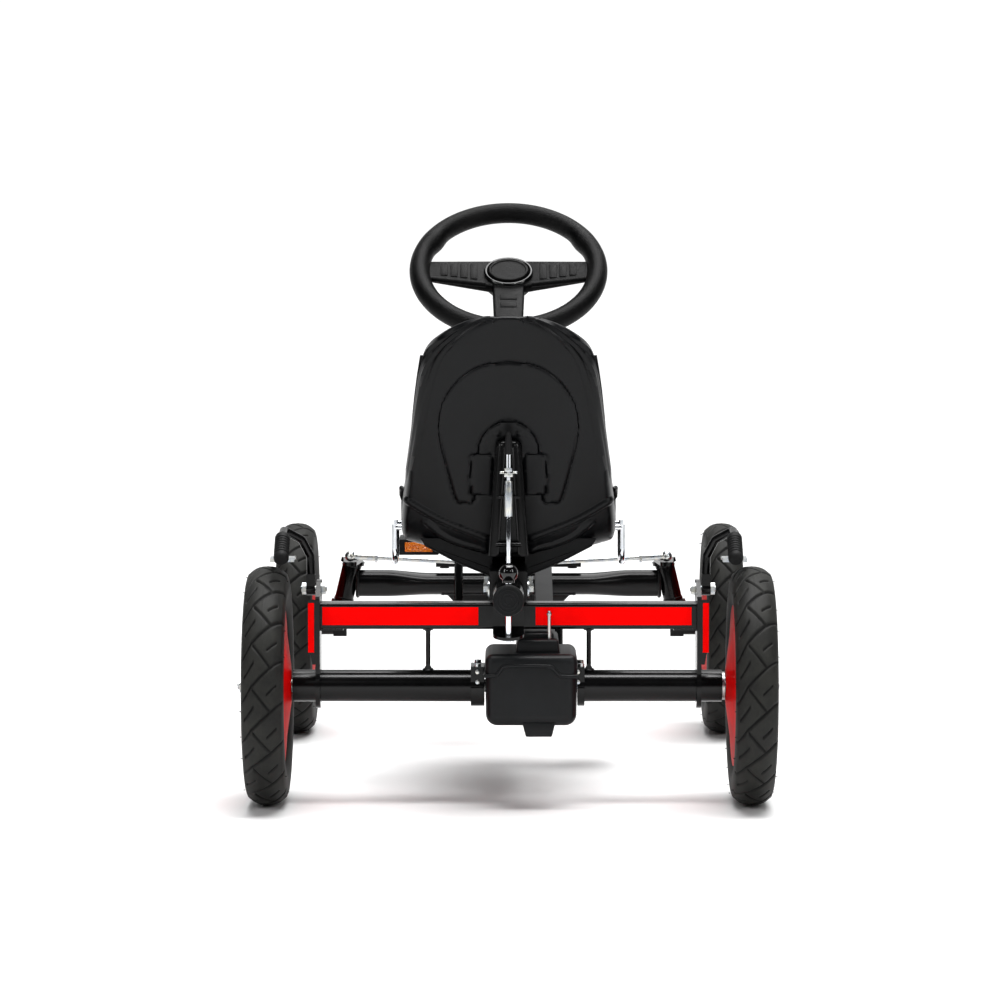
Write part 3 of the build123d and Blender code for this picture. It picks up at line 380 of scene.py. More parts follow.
# Name, colour, roughness, grain (size and depth in mm, strength), patches (size in mm, colours, roughness)
# and metallic, then other sockets.
FINISHES = {
    # Polyester powder coat, gloss black: the faint orange peel breaks long highlights.
    "frame_paint": (("powder_coated_steel_black", "#060607", 0.2, (2.2, 0.03, 0.35),
                     (60, ("#040405", "#0b0b0c"), (0.16, 0.28))), {"Specular_IOR_Level": 0.4}),
    # Bright zinc plating, passivated: slightly blue and yellow patches over fine draw marks.
    "zinc_steel": (("zinc_plated_steel", "#c6cbd0", 0.28, (0.9, 0.02, 0.3, "noise", 6.0),
                    (9, ("#aeb6c0", "#d8d6cc"), (0.2, 0.4)), 1.0), {}),
    # Chrome over polished steel: near mirror, with faint handling haze.
    "bright_steel": (("chrome_plated_steel", "#dfe2e6", 0.07, (14, 0.01, 0.15),
                      (30, ("#d2d6dc", "#e8eaec"), (0.05, 0.14)), 1.0), {}),
    # Black polypropylene, injection moulded with a fine spark-eroded grain.
    "black_plastic": (("moulded_polypropylene_black", "#101113", 0.46, (0.8, 0.05, 0.5, "noise", 5.0),
                       (35, ("#0d0e0f", "#151618"), (0.4, 0.54))), {"Specular_IOR_Level": 0.3}),
    # Seat shell: black high-density polyethylene, semi-gloss with a leathery mould grain.
    "seat_plastic": (("moulded_polyethylene_seat", "#08090b", 0.32, (1.3, 0.06, 0.4, "cells"),
                      (80, ("#050607", "#0c0d10"), (0.24, 0.38))), {"Specular_IOR_Level": 0.28}),
    # Glass-filled nylon housing: satin charcoal with a coarse mould grain.
    "housing_plastic": (("moulded_nylon_charcoal", "#121315", 0.42, (1.1, 0.07, 0.55, "noise", 5.0),
                         (45, ("#0f1012", "#17191b"), (0.34, 0.48))), {"Specular_IOR_Level": 0.32}),
    # Polished black knob: hard, deep gloss.
    "knob_plastic": (("polished_phenolic_black", "#060607", 0.1, (6, 0.01, 0.2),
                      (12, ("#050506", "#0a0a0b"), (0.08, 0.16))), {"Coat_Weight": 0.5, "Coat_Roughness": 0.05}),
    # Steering wheel: self-skinned polyurethane foam with a pressed leather grain.
    "wheel_grain": (("skinned_foam_leather_grain", "#050506", 0.36, (2.4, 0.22, 0.75, "cells"),
                     (25, ("#030304", "#080808"), (0.28, 0.44))), {"Specular_IOR_Level": 0.16}),
    # Moulded handle grips and buffers: matt black rubber with a dusty bloom.
    "grip_rubber": (("moulded_grip_rubber", "#0e0e0f", 0.6, (1.0, 0.08, 0.5, "noise", 5.0),
                     (20, ("#0e0e0f", "#1a1a1b"), (0.52, 0.68))), {"Specular_IOR_Level": 0.3}),
    # Chain and sprockets: dark oiled steel, brighter where it rubs.
    "chain_steel": (("oiled_chain_steel", "#4a4a4b", 0.36, (1.2, 0.05, 0.5, "noise", 6.0),
                     (8, ("#2c2b2a", "#77777a"), (0.28, 0.5)), 1.0), {}),
    # Pedal reflectors: moulded orange acrylic with a field of small prisms, 3 mm across.
    "reflector": (("moulded_reflector_acrylic", "#e8720c", 0.12, (3.0, 0.6, 0.9, "cells"),
                   (4, ("#c85a06", "#ff9a2a"), (0.08, 0.2))), {"Coat_Weight": 0.6, "Coat_Roughness": 0.04}),
    # Weld beads under powder coat: rippled, glossy black.
    "weld": (("powder_coated_weld_bead", "#0b0b0c", 0.3, (2.0, 0.4, 0.8),
              (12, ("#08080a", "#161618"), (0.24, 0.4))), {}),
    # Floor: white background paper with a barely visible tooth.
    "paper": (("studio_paper_white", "#f6f6f6", 0.9, (4, 0.05, 0.1),
               (300, ("#f3f3f3", "#f8f8f8"), (0.85, 0.95))), {}),
}
MATERIALS = {}


class KART_OT_finishes(bpy.types.Operator):
    """Makes every finish and gives the frame's own parts theirs"""

    bl_idname = "kart.finishes"
    bl_label = "Finishes"

    def execute(self, context):
        for slot, (values, sockets) in FINISHES.items():
            MATERIALS[slot] = make_finish(*values, **sockets)
        for slot, make in COLOUR_FINISHES.items():
            MATERIALS[slot] = make()
        for part in frame["record"]["subparts"]:
            mesh = frame["nodes"][part["node"]].data
            mesh.materials.clear()
            mesh.materials.append(MATERIALS[part["material_slot"]])
        return {"FINISHED"}


# --- tyres --------------------------------------------------------------------------------------
TYRES = {"tyre_rear_left": "rear_wheel_left", "tyre_rear_right": "rear_axle",
         "tyre_front_left": "front_wheel_left", "tyre_front_right": "front_wheel_right"}
BEAD_HALF = 18.8
BEAD_RADIUS = 108
HAIRS = 25
TREAD_HALF = 25.5
TREAD_LENGTH = 999.0
TYRE_STEPS = 17 * 36
TYRE_WALL = 4.0
LONG_GROOVE = ((-1, -0.85, -0.53, -0.07, 0.42, 0.75, 1), (-0.14, 0, 0.27, 0.485, 0.683, 0.8, 0.88))


def tyre_section(half_width, outer, bead_half, bead_radius):
    """Closed outline of a tyre's wall as (across, radius): tread, side, bead and the hollow inside."""
    side = [(bead_half, bead_radius), (bead_half + 3.5, bead_radius + 2),
            (half_width - 1.2, bead_radius + 13), (half_width - 0.1, outer - 29),
            (half_width - 0.6, outer - 17), (TREAD_HALF - 0.5, outer - 10.5)]
    crown = [(-TREAD_HALF + 0.5, outer - 10.5), (-17, outer - 3.6), (-8.5, outer - 0.6), (0, outer - 0.1),
             (8.5, outer - 0.6), (17, outer - 3.6), (TREAD_HALF - 0.5, outer - 10.5)]
    flank = spaced(rounded(side, 2), 14)
    tread = spaced(rounded(crown, 2), 49)
    hollow = [(-bead_half + 0.5, bead_radius + 0.3), (-half_width + TYRE_WALL, outer - 30),
              (-17, outer - 9), (0, outer - 6), (17, outer - 9),
              (half_width - TYRE_WALL, outer - 30), (bead_half - 0.5, bead_radius + 0.3)]
    inside = spaced(rounded(hollow, 2), 14)
    return [*flank[:-1], *tread[::-1], *(flank[-2::-1] * (-1, 1)), *inside[1:-1]]


def groove_depth(across, turn, width, repeats):
    """How deep the tread is cut, 0 to 1. across runs from -1 to 1, turn counts repeats of the pattern."""
    pitch = TREAD_LENGTH / repeats
    cut = np.zeros_like(across)
    for shift in (-2, -1, 0, 1):
        t = turn % 1.0 + shift
        long_line = np.interp(across, *LONG_GROOVE)
        away = np.abs(t - long_line) * pitch / math.hypot(1, 0.5 * pitch / TREAD_HALF)
        cut = np.maximum(cut, np.clip(1.35 - away / (width * 0.5), 0, 1))
        straight = 1.198 - 0.56 * (across + 0.44)
        away = np.abs(t - straight) * pitch / math.hypot(1, 0.53 * pitch / TREAD_HALF)
        within = (across < 0.44) * (across > -0.47)
        cut = np.maximum(cut, np.clip(1.35 - away / (width * 0.45), 0, 1) * within)
        for start, end in (((-0.88, 0.48), (-0.4, 0.82)), ((0.27, 0.1), (0.76, 0.3))):
            slope = (end[1] - start[1]) / (end[0] - start[0])
            dash = start[1] + slope * (across - start[0])
            away = np.abs(t - dash) * pitch / math.hypot(1, slope * pitch / TREAD_HALF)
            within = (across > start[0]) * (across < end[0])
            cut = np.maximum(cut, np.clip(1.3 - away / (width * 0.42), 0, 1) * within)
    return cut


def cut_tread(mesh, centre, settings):
    """Moves a tyre's tread inwards along its grooves and keeps the depth as an attribute, which the rubber reads to
    paint shade into the grooves.
    """
    count = len(mesh.vertices)
    co = np.empty(count * 3, np.float32)
    mesh.vertices.foreach_get("co", co)
    co = co.reshape(-1, 3).astype(float) * 1000
    away = co - np.array(centre)
    radius = np.hypot(away[:, 1], away[:, 2])
    turn = np.arctan2(away[:, 2], -away[:, 1]) / math.tau * settings.repeats
    across = away[:, 0] / TREAD_HALF
    outer = radius.max()
    surface = (radius > outer - 12.5 - 4 * (np.abs(across) > 0.9)) & (radius > outer - 5.5 - 9 * across ** 4)
    cut = groove_depth(across, turn, settings.groove_width * 1000, settings.repeats) * surface
    line = np.clip(1 - np.abs(away[:, 0]) / 0.9, 0, 1) * surface * (cut < 0.1)
    inward = 1 - (cut * settings.groove_depth * 1000 - line * 0.35) / radius
    co[:, 1:] = np.array(centre)[1:] + away[:, 1:] * inward[:, None]
    mesh.vertices.foreach_set("co", (co * MM).astype(np.float32).ravel())
    mesh.attributes.new("groove", "FLOAT", "POINT").data.foreach_set("value", cut.astype(np.float32))
    mesh.update()


class KART_OT_tyres(bpy.types.Operator):
    """Makes the four pneumatic tyres with their cut tread and mould hairs"""

    bl_idname = "kart.tyres"
    bl_label = "Tyres"

    def execute(self, context):
        for node, body in TYRES.items():
            low, high = box_mm(node)
            centre = (low + high) / 2
            bm = bmesh.new()
            half = (high.x - low.x) / 2
            section = tyre_section(half, (high.z - low.z) / 2, BEAD_HALF, BEAD_RADIUS)
            lathe(bm, section, centre, (1, 0, 0), TYRE_STEPS)
            tyre = to_piece(bm, f"{node}_treaded", body, "tyre_rubber", [node], 60)
            cut_tread(tyre.data, centre, context.scene.kart_tyres)
            bm = bmesh.new()
            rng = np.random.default_rng(4)
            for angle in all_round(HAIRS):
                side = 1 if rng.random() > 0.5 else -1
                reach = 140 + rng.random() * 6
                direction = Vector((0, math.cos(angle), math.sin(angle)))
                root = centre + direction * reach + Vector((side * (half - 1.2), 0, 0))
                bar(bm, root, root + Vector((side * (1.5 + rng.random() * 1.6), 0, 0)), 0.45, 6)
            to_piece(bm, f"{node}_mould_hairs", body, "tyre_rubber")
        return {"FINISHED"}


# --- seat ---------------------------------------------------------------------------------------
SEAT_COLUMNS = 132
SEAT_ROWS = 250
SEAT_BEHIND_LOCK = 45
# Stations from the front edge to the top: forwards, height, lean in degrees, half width, wing, belly and spread.
SEAT_PROFILE = (
    (310, 352, -18, 130, 22, 14, 40), (270, 336, -14, 138, 34, 20, 36), (180, 322, -4, 143, 62, 26, 32),
    (100, 318.5, 0, 143, 92, 30, 30), (60, 324, 30, 143, 104, 30, 40), (36, 345, 60, 143, 100, 26, 50),
    (20, 385, 71, 140, 86, 20, 60), (-8, 470, 72, 128, 66, 16, 66), (-36, 558, 72, 117, 48, 12, 66),
    (-50, 602, 72, 109, 30, 8, 60), (-58, 627, 72, 84, 12, 6, 45), (-62.5, 641, 72, 58, 10, 5, 30),
    (-65, 648, 72, 30, 8, 3, 14),
)
# Middle of the band under each wing, from the top down: across, forwards and height.
WING_BAND = ((110, -24, 600), (117, 9, 568), (123, 32, 530), (128, 55, 490), (135, 84, 440))


def across_seat(half_width, wing, belly, spread):
    """Half of the seat's cross-section as (across, height), with the corner below the wing rounded."""
    line = [(0, 0), (spread, 0), (half_width - 14, belly * 0.86), (half_width, belly + 1), (half_width, wing)]
    return spaced(rounded(line, 3), SEAT_COLUMNS // 2 + 1)


def near_line(x, z, points, width):
    """1 on a line of points, falling to 0 at a distance from it."""
    points = np.array(points, float)
    best = np.full(x.shape, 1e9)
    for (ax, az), (bx, bz) in zip(points, points[1:]):
        length = max((bx - ax) ** 2 + (bz - az) ** 2, 1e-9)
        share = np.clip(((x - ax) * (bx - ax) + (z - az) * (bz - az)) / length, 0, 1)
        best = np.minimum(best, np.hypot(x - ax - share * (bx - ax), z - az - share * (bz - az)))
    return np.clip(1.4 - best / width, 0, 1) ** 0.8


def seat_relief(x, z, back):
    """Height of the ribs and sunk lines on the seat's back, from -1 to 1."""
    x = np.abs(x)
    relief = np.zeros_like(x)
    oval = rounded([(0, 592), (34, 590), (66, 570), (86, 542), (93, 515), (91, 480), (80, 440), (71, 406),
                    (66, 402), (48, 402), (45, 405), (45, 412)], 3)
    relief -= near_line(x, z, oval, 1.6)
    pad = rounded([(20, 420), (20, 413), (28, 413), (42, 413), (50, 413), (50, 420), (50, 460), (50, 468),
                   (42, 468), (28, 468), (20, 468), (20, 460)], 2, True)
    relief -= near_line(x, z, [*pad, pad[0]], 1.4)
    turns = np.linspace(0, math.pi / 2, 12)
    relief -= near_line(x, z, np.stack([40 * np.cos(turns), 469 + 44 * np.sin(turns)], 1), 1.4)
    relief += near_line(x, z, [(15, 497), (15, 498)], 2.2)
    for rib in ([(135, 404), (91, 378), (28, 354)], [(110, 376), (84, 352), (29, 336)],
                [(111, 349), (70, 330), (21, 313)]):
        relief += 1.6 * near_line(x, z, rounded(rib, 2), 2.4)
    relief += 0.8 * near_line(x, z, [(32, 352), (32, 332)], 1.6)
    inner_panel = np.clip((np.hypot(x / 92, (z - 500) / 92) - 1) * -14, 0, 1)
    relief += 0.25 * inner_panel
    return relief * back


def shape_seat(bm, settings):
    """Moves a flat grid onto the seat's surface and returns its rim as a line of points."""
    stations = spaced(rounded(SEAT_PROFILE, 3), SEAT_ROWS + 1, [0, 1])
    rear = centre_mm("seat_lock_rod").y + SEAT_BEHIND_LOCK
    rows = []
    for y, z, lean, half_width, wing, belly, spread in stations:
        half = across_seat(half_width, wing, belly, spread)
        full = np.vstack([half[::-1] * (-1, 1), half[1:]])
        up = (math.sin(math.radians(lean)), math.cos(math.radians(lean)))
        rows.append(np.stack([full[:, 0], rear + y + up[0] * full[:, 1], z + up[1] * full[:, 1]], 1))
    surface = np.array(rows)
    along = np.gradient(surface, axis=0)
    sideways = np.gradient(surface, axis=1)
    normal = np.cross(sideways, along)
    normal /= np.linalg.norm(normal, axis=2)[:, :, None] + 1e-9
    lean = stations[:, 2][:, None]
    back = np.clip((lean - 20) / 35, 0, 1)
    outwards = -np.sign(normal[120, SEAT_COLUMNS // 2, 1])
    relief = seat_relief(surface[:, :, 0], surface[:, :, 2], back)
    flank = np.abs(np.linspace(-1, 1, SEAT_COLUMNS + 1))[None, :]
    upper = np.clip((surface[:, :, 2] - 425) / 20, 0, 1)
    bands = upper * sum(near_line(flank * 100, flank * 0, [(at, 0), (at, 0)], 1.7) for at in (70, 78, 88))
    surface += normal * outwards * (relief + 0.9 * bands)[:, :, None] * settings.relief * 1000
    surface += normal * (-outwards) * settings.wall * 500
    grid = sorted(bm.verts, key=lambda v: (round(v.co.y, 5), round(v.co.x, 5)))
    for vert, place in zip(grid, surface.reshape(-1, 3)):
        vert.co = place
    rim = [*surface[0], *surface[1:, -1], *surface[-1, ::-1][1:], *surface[::-1, 0][1:-1]]
    return rim


class KART_OT_seat(bpy.types.Operator):
    """Makes the moulded bucket seat with its ribs, panel lines and rolled rim"""

    bl_idname = "kart.seat"
    bl_label = "Seat"

    def execute(self, context):
        settings = context.scene.kart_seat
        bm = bmesh.new()
        bmesh.ops.create_grid(bm, x_segments=SEAT_COLUMNS, y_segments=SEAT_ROWS, size=1)
        rim = shape_seat(bm, settings)
        bmesh.ops.recalc_face_normals(bm, faces=bm.faces)
        made = bmesh.ops.extrude_face_region(bm, geom=bm.faces[:], use_keep_orig=True)["geom"]
        for v in [g for g in made if isinstance(g, bmesh.types.BMVert)]:
            v.co -= v.normal * settings.wall * 1000
        bmesh.ops.recalc_face_normals(bm, faces=bm.faces)
        to_piece(bm, "seat_moulding", "seat", "seat_plastic", ["seat_shell"], 50)
        bm = bmesh.new()
        roll = spaced(rounded(rim[::4], 1, True), 260)
        wire(bm, roll, 3.2, 12, closed=True)
        to_piece(bm, "seat_rolled_rim", "seat", "seat_plastic")
        rear = centre_mm("seat_lock_rod").y + SEAT_BEHIND_LOCK
        bm = bmesh.new()
        for side in SIDES.values():
            path = spaced(rounded(WING_BAND, 2), 30)
            rings = []
            for i, (x, y, z) in enumerate(path):
                out = 6.5 - 5 * i / 29
                corners = ((-9, 2), (out - 1, 2), (out, 1), (out, -12), (out - 1, -13), (-9, -13))
                rings.append([bm.verts.new((side * (x + a), rear + y + b, z)) for a, b in corners])
            skin(bm, rings)
            for shift in (2.2, -3.2):
                line = [(side * (x + shift), rear + y - 13, z) for x, y, z in path]
                wire(bm, line, 0.9, 8)
        to_piece(bm, "seat_wing_bands", "seat", "seat_plastic", (), 30)
        bm = bmesh.new()
        for side in SIDES.values():
            outline = [(22, 301), (66, 318), (112, 342), (118, 352), (60, 352), (22, 345)]
            skin(bm, [[bm.verts.new((side * x, rear + y, z)) for x, z in outline] for y in (46, 53)])
            for line in ([(24, 302), (66, 319), (112, 343)], [(27, 312), (90, 335)]):
                wire(bm, [(side * x, rear + 46, z) for x, z in line], 1.3, 10)
        to_piece(bm, "seat_skirt_ribs", "seat", "seat_plastic", (), 30)
        return {"FINISHED"}


# --- steering wheel -----------------------------------------------------------------------------
WHEEL_LEAN = math.radians(50)
WHEEL_HUB = Vector((0, centre_mm("tyre_rear_left").y + 370, 707))
RING_RADIUS = 125.5
SPOKE_START = 20
SPOKE_LENGTH = 101
# Turn in degrees, half width at the hub and at the rim, and where the raised pads start.
SPOKES = ((0, 28, 18, (44, 58, 72, 86)), (180, 28, 18, (44, 58, 72, 86)), (270, 23, 20, (50, 68)))


def on_wheel(right, up, out):
    """Point on the steering wheel's face: right and up in its plane, out towards the rider."""
    face = Vector((0, -math.cos(WHEEL_LEAN), math.sin(WHEEL_LEAN)))
    upward = Vector((0, math.sin(WHEEL_LEAN), math.cos(WHEEL_LEAN)))
    return WHEEL_HUB + Vector((right, 0, 0)) + upward * up + face * out


class KART_OT_steering_wheel(bpy.types.Operator):
    """Makes the grained steering wheel with its thumb rests, spokes, hub and plain badge"""

    bl_idname = "kart.steering_wheel"
    bl_label = "Steering wheel"

    def execute(self, context):
        thick = context.scene.kart_wheel.rim_thickness * 500
        face = on_wheel(0, 0, 1) - on_wheel(0, 0, 0)
        upward = on_wheel(0, 1, 0) - on_wheel(0, 0, 0)
        turned = Matrix((Vector((1, 0, 0)), upward, face)).transposed().to_4x4()
        bm = bmesh.new()
        steps = 144
        points, sizes = [], []
        for i in range(steps):
            angle = math.tau * i / steps
            thumb = min(abs((math.degrees(angle) - at + 180) % 360 - 180) for at in (30, 150))
            swell = math.exp(-(thumb / 7) ** 2)
            reach = RING_RADIUS - 1.6 * swell
            points.append(on_wheel(reach * math.cos(angle), reach * math.sin(angle), 0))
            sizes.append(thick + 0.9 + 1.6 * swell)
        wire(bm, points, sizes, 28, closed=True)
        to_piece(bm, "steering_wheel_rim", "steering", "wheel_grain", ["steering_wheel"], 60)
        bm = bmesh.new()
        for turn, root, tip, pads in SPOKES:
            spoke = bmesh.new()
            for v in bmesh.ops.create_cube(spoke, size=1)["verts"]:
                if v.co.x > 0:
                    v.co = (SPOKE_START + SPOKE_LENGTH, v.co.y * 2 * tip, v.co.z * 9 - 2)
                else:
                    v.co = (SPOKE_START, v.co.y * 2 * root, v.co.z * 15 - 13)
            round_edges(spoke, spoke.edges[:], 4, 4)
            for at in pads:
                share = (at - SPOKE_START) / SPOKE_LENGTH
                lift = -5.2 + share * 8
                half = root + (tip - root) * share - 10
                slab(spoke, (at, -half, lift - 2), (at + 10, half, lift + 1.3), 0.7, 2)
            if turn != 270:
                low = 1 if turn else -1
                wire(spoke, [(32, low * (root - 4), -6), (118, low * (tip - 3), -2)], 4.2, 16)
            place = Matrix.Translation(WHEEL_HUB) @ turned @ Matrix.Rotation(math.radians(turn), 4, "Z")
            bmesh.ops.transform(spoke, matrix=place, verts=spoke.verts)
            add_mesh(bm, spoke)
        to_piece(bm, "steering_wheel_spokes", "steering", "wheel_grain")
        bm = bmesh.new()
        collar = [(-30, 20), (-30, 30), (-26, 33), (-9, 35), (-5, 33), (-3.5, 30), (-3.5, 20)]
        lathe(bm, collar, WHEEL_HUB, face, 72)
        sleeve = [(-70, 16.4), (-70, 19), (-66, 20.5), (-30, 22), (-26, 24), (-26, 16.4)]
        lathe(bm, sleeve, WHEEL_HUB, face, 64)
        to_piece(bm, "steering_wheel_hub", "steering", "wheel_grain")
        bm = bmesh.new()
        wire(bm, [on_wheel(32 * math.cos(a), 27 * math.sin(a), -3) for a in all_round(72)], 2.8, 14, closed=True)
        to_piece(bm, "steering_wheel_badge_ring", "steering", "knob_plastic")
        bm = bmesh.new()
        made = bmesh.ops.create_cone(bm, cap_ends=True, segments=72, radius1=29, radius2=28, depth=5)["verts"]
        bmesh.ops.scale(bm, vec=(1, 0.82, 1), verts=made)
        top = [f for f in bm.faces if len(f.verts) > 4 and f.normal.z > 0.5]
        round_edges(bm, [e for f in top for e in f.edges], 1.2, 3)
        top = [f for f in bm.faces if len(f.verts) > 40 and f.normal.z > 0.5]
        bmesh.ops.inset_region(bm, faces=top, thickness=2.2, depth=0)
        bmesh.ops.inset_region(bm, faces=top, thickness=0.8, depth=-1.0)
        bmesh.ops.transform(bm, matrix=Matrix.Translation(on_wheel(0, 0, -0.5)) @ turned, verts=bm.verts)
        to_piece(bm, "steering_wheel_oval_badge", "steering", "wheel_grain", ["wheel_badge"])
        return {"FINISHED"}


# --- seat post and lock -------------------------------------------------------------------------


class KART_OT_seat_post(bpy.types.Operator):
    """Makes the arched channel behind the seat with the lock's rod, sleeve, nuts and tip"""

    bl_idname = "kart.seat_post"
    bl_label = "Seat post"

    def execute(self, context):
        y = centre_mm("seat_lock_rod").y
        seat_y = y + SEAT_BEHIND_LOCK
        bm = bmesh.new()
        for v in bmesh.ops.create_cube(bm, size=2)["verts"]:
            top = v.co.z > 0
            front = v.co.y > 0
            v.co = (v.co.x * (17 if top else 27), seat_y - 30, 489 if top else 334)
            if front:
                v.co.y = seat_y + (-14 if top else 8)
        tall = [e for e in bm.edges if upright(e) or min(v.co.z for v in e.verts) > 400]
        round_edges(bm, tall, 10, 8)
        back = max(bm.faces, key=lambda f: f.calc_area() if f.normal.y < -0.9 else 0)
        bmesh.ops.inset_region(bm, faces=[back], thickness=3.2, depth=1.2)
        bmesh.ops.inset_region(bm, faces=[back], thickness=2.0, depth=-1.0)
        bmesh.ops.inset_region(bm, faces=[back], thickness=1.5, depth=-12)
        to_piece(bm, "seat_post_channel", "seat", "frame_paint")
        bm = bmesh.new()
        slab(bm, (-15, y + 9, 411), (15, y + 14, 414), 0.6)
        bar(bm, (-17, y + 10, 350), (17, y + 10, 350), 3.0, 24, bevel=0.6)
        to_piece(bm, "seat_post_cross_pieces", "seat", "frame_paint")
        bm = bmesh.new()
        sleeve = [(388, 3.95), (388, 5.1), (389, 5.4), (434, 5.4), (435.5, 5.0), (435.5, 3.95)]
        lathe(bm, sleeve, (0, y, 0), (0, 0, 1), 48)
        to_piece(bm, "seat_lock_sleeve", "seat", "zinc_steel", ["seat_lock_guide"])
        bm = bmesh.new()
        bar(bm, (0, y, 303), (0, y, 388), 2.9, 32, bevel=0.6)
        bar(bm, (0, y, 380), (0, y, 452), 2.6, 24)
        bar(bm, (-1.6, y, 448), (-1.6, y, 474), 1.3, 16)
        bar(bm, (1.6, y, 448), (1.6, y, 474), 1.3, 16)
        to_piece(bm, "seat_lock_rod_turned", "seat_lock", "bright_steel", ["seat_lock_rod"])
        bm = bmesh.new()
        hexagon(bm, (0, y, 440), (0, y, 446), 6.4)
        hexagon(bm, (0, y, 447), (0, y, 452), 5.6)
        for side in SIDES.values():
            bar(bm, (side * 5.8, y, 446), (side * 11.5, y, 446), 2.2, 20, bevel=0.5)
        to_piece(bm, "seat_lock_nuts", "seat_lock", "zinc_steel")
        bm = bmesh.new()
        tip = [(470, 0.5), (470, 4.4), (473, 4.9), (488, 4.7), (496, 3.4), (500, 1.6), (500, 0.5)]
        lathe(bm, tip, (0, y, 0), (0, 0, 1), 40)
        to_piece(bm, "seat_lock_tip", "seat_lock", "grip_rubber")
        return {"FINISHED"}


# --- gear housing -------------------------------------------------------------------------------


class KART_OT_housing(bpy.types.Operator):
    """Makes the moulded gear housing with its seam lip, tunnel, drain boss and clamp bolts"""

    bl_idname = "kart.housing"
    bl_label = "Gear housing"

    def execute(self, context):
        low, high = box_mm("housing_lower")
        _, top_high = box_mm("housing_upper")
        left, right, back, front = low.x, high.x, low.y, high.y
        rear_y = centre_mm("tyre_rear_left").y
        bm = bmesh.new()
        tub = slab(bm, (left + 0.4, back + 0.4, 113), (right - 0.4, front - 1.5, 190), 0)
        for v in tub:
            if v.co.z < 150:
                v.co.x += 1.0 if v.co.x < 30 else -1.0
        tub_edges = [e for e in bm.edges if max(v.co.z for v in e.verts) < 189 or upright(e)]
        round_edges(bm, tub_edges, 15, 8)
        boss = slab(bm, (18, back + 4, low.z - 3), (62, back + 84, 118), 0)
        for v in boss:
            if v.co.z < 110:
                v.co.x += 5 if v.co.x < 40 else -5
        round_edges(bm, edges_of(boss), 1.6, 3)
        to_piece(bm, "gear_housing_tub", "frame", "housing_plastic", ["housing_lower"])
        bm = bmesh.new()
        slab(bm, (left, back, 182), (right, front, 208), 0)
        cover_edges = [e for e in bm.edges if min(v.co.z for v in e.verts) > 190 or upright(e)]
        round_edges(bm, cover_edges, 11, 7)
        tunnel_end = min(front - 6, top_high.y)
        tunnels = ((9, 69, rear_y - 47, 225, 3), (17, 62, rear_y - 25, top_high.z, 2))
        for x_low, x_high, y_low, z_high, lean in tunnels:
            tunnel = bmesh.new()
            for v in slab(tunnel, (x_low, y_low, 200), (x_high, tunnel_end, z_high), 0):
                if v.co.z > 210:
                    v.co.x += lean if v.co.x < 40 else -lean
            round_edges(tunnel, tunnel.edges[:], 4, 4)
            add_mesh(bm, tunnel)
        to_piece(bm, "gear_housing_cover", "frame", "housing_plastic", ["housing_upper"])
        bm = bmesh.new()
        lip = [(left - 0.4, 180), (-19, 180), (-15, 181.4), (-8, 191.4), (-3, 193.6), (52, 193.6),
               (58, 191.4), (66, 181.4), (70, 179.4), (right + 0.4, 179.4)]
        line = [(x, back - 0.5, z) for x, z in spaced(rounded(lip, 2), 90)]
        sides = [(left - 0.3, y, 180) for y in (front - 12, rear_y, back + 8)] + [(left + 1.5, back + 2, 180)]
        wire(bm, spaced(rounded([*sides, *line], 1), 130), 2.5, 14)
        for x in (8, 69.5):
            wire(bm, [(x, rear_y - 46, 207), (x, front - 14, 207)], 1.2, 10)
        to_piece(bm, "gear_housing_seam_lip", "frame", "housing_plastic")
        bm = bmesh.new()
        clamp_low, clamp_high = box_mm("axle_clamps")
        for x in (clamp_low.x + 9, clamp_high.x - 9):
            for z in (180, 166.5):
                bar(bm, (x, clamp_low.y - 0.8, z), (x, clamp_low.y + 6, z), 3.1, 24, bevel=0.7)
        to_piece(bm, "axle_clamp_screws", "frame", "zinc_steel")
        return {"FINISHED"}


# --- front beam ---------------------------------------------------------------------------------
KINGPIN_LEAN = math.radians(13.35)
KINGPIN_OUT = 244
KINGPIN_HEIGHT = 228.5
BEAM_HEIGHT = 226.0


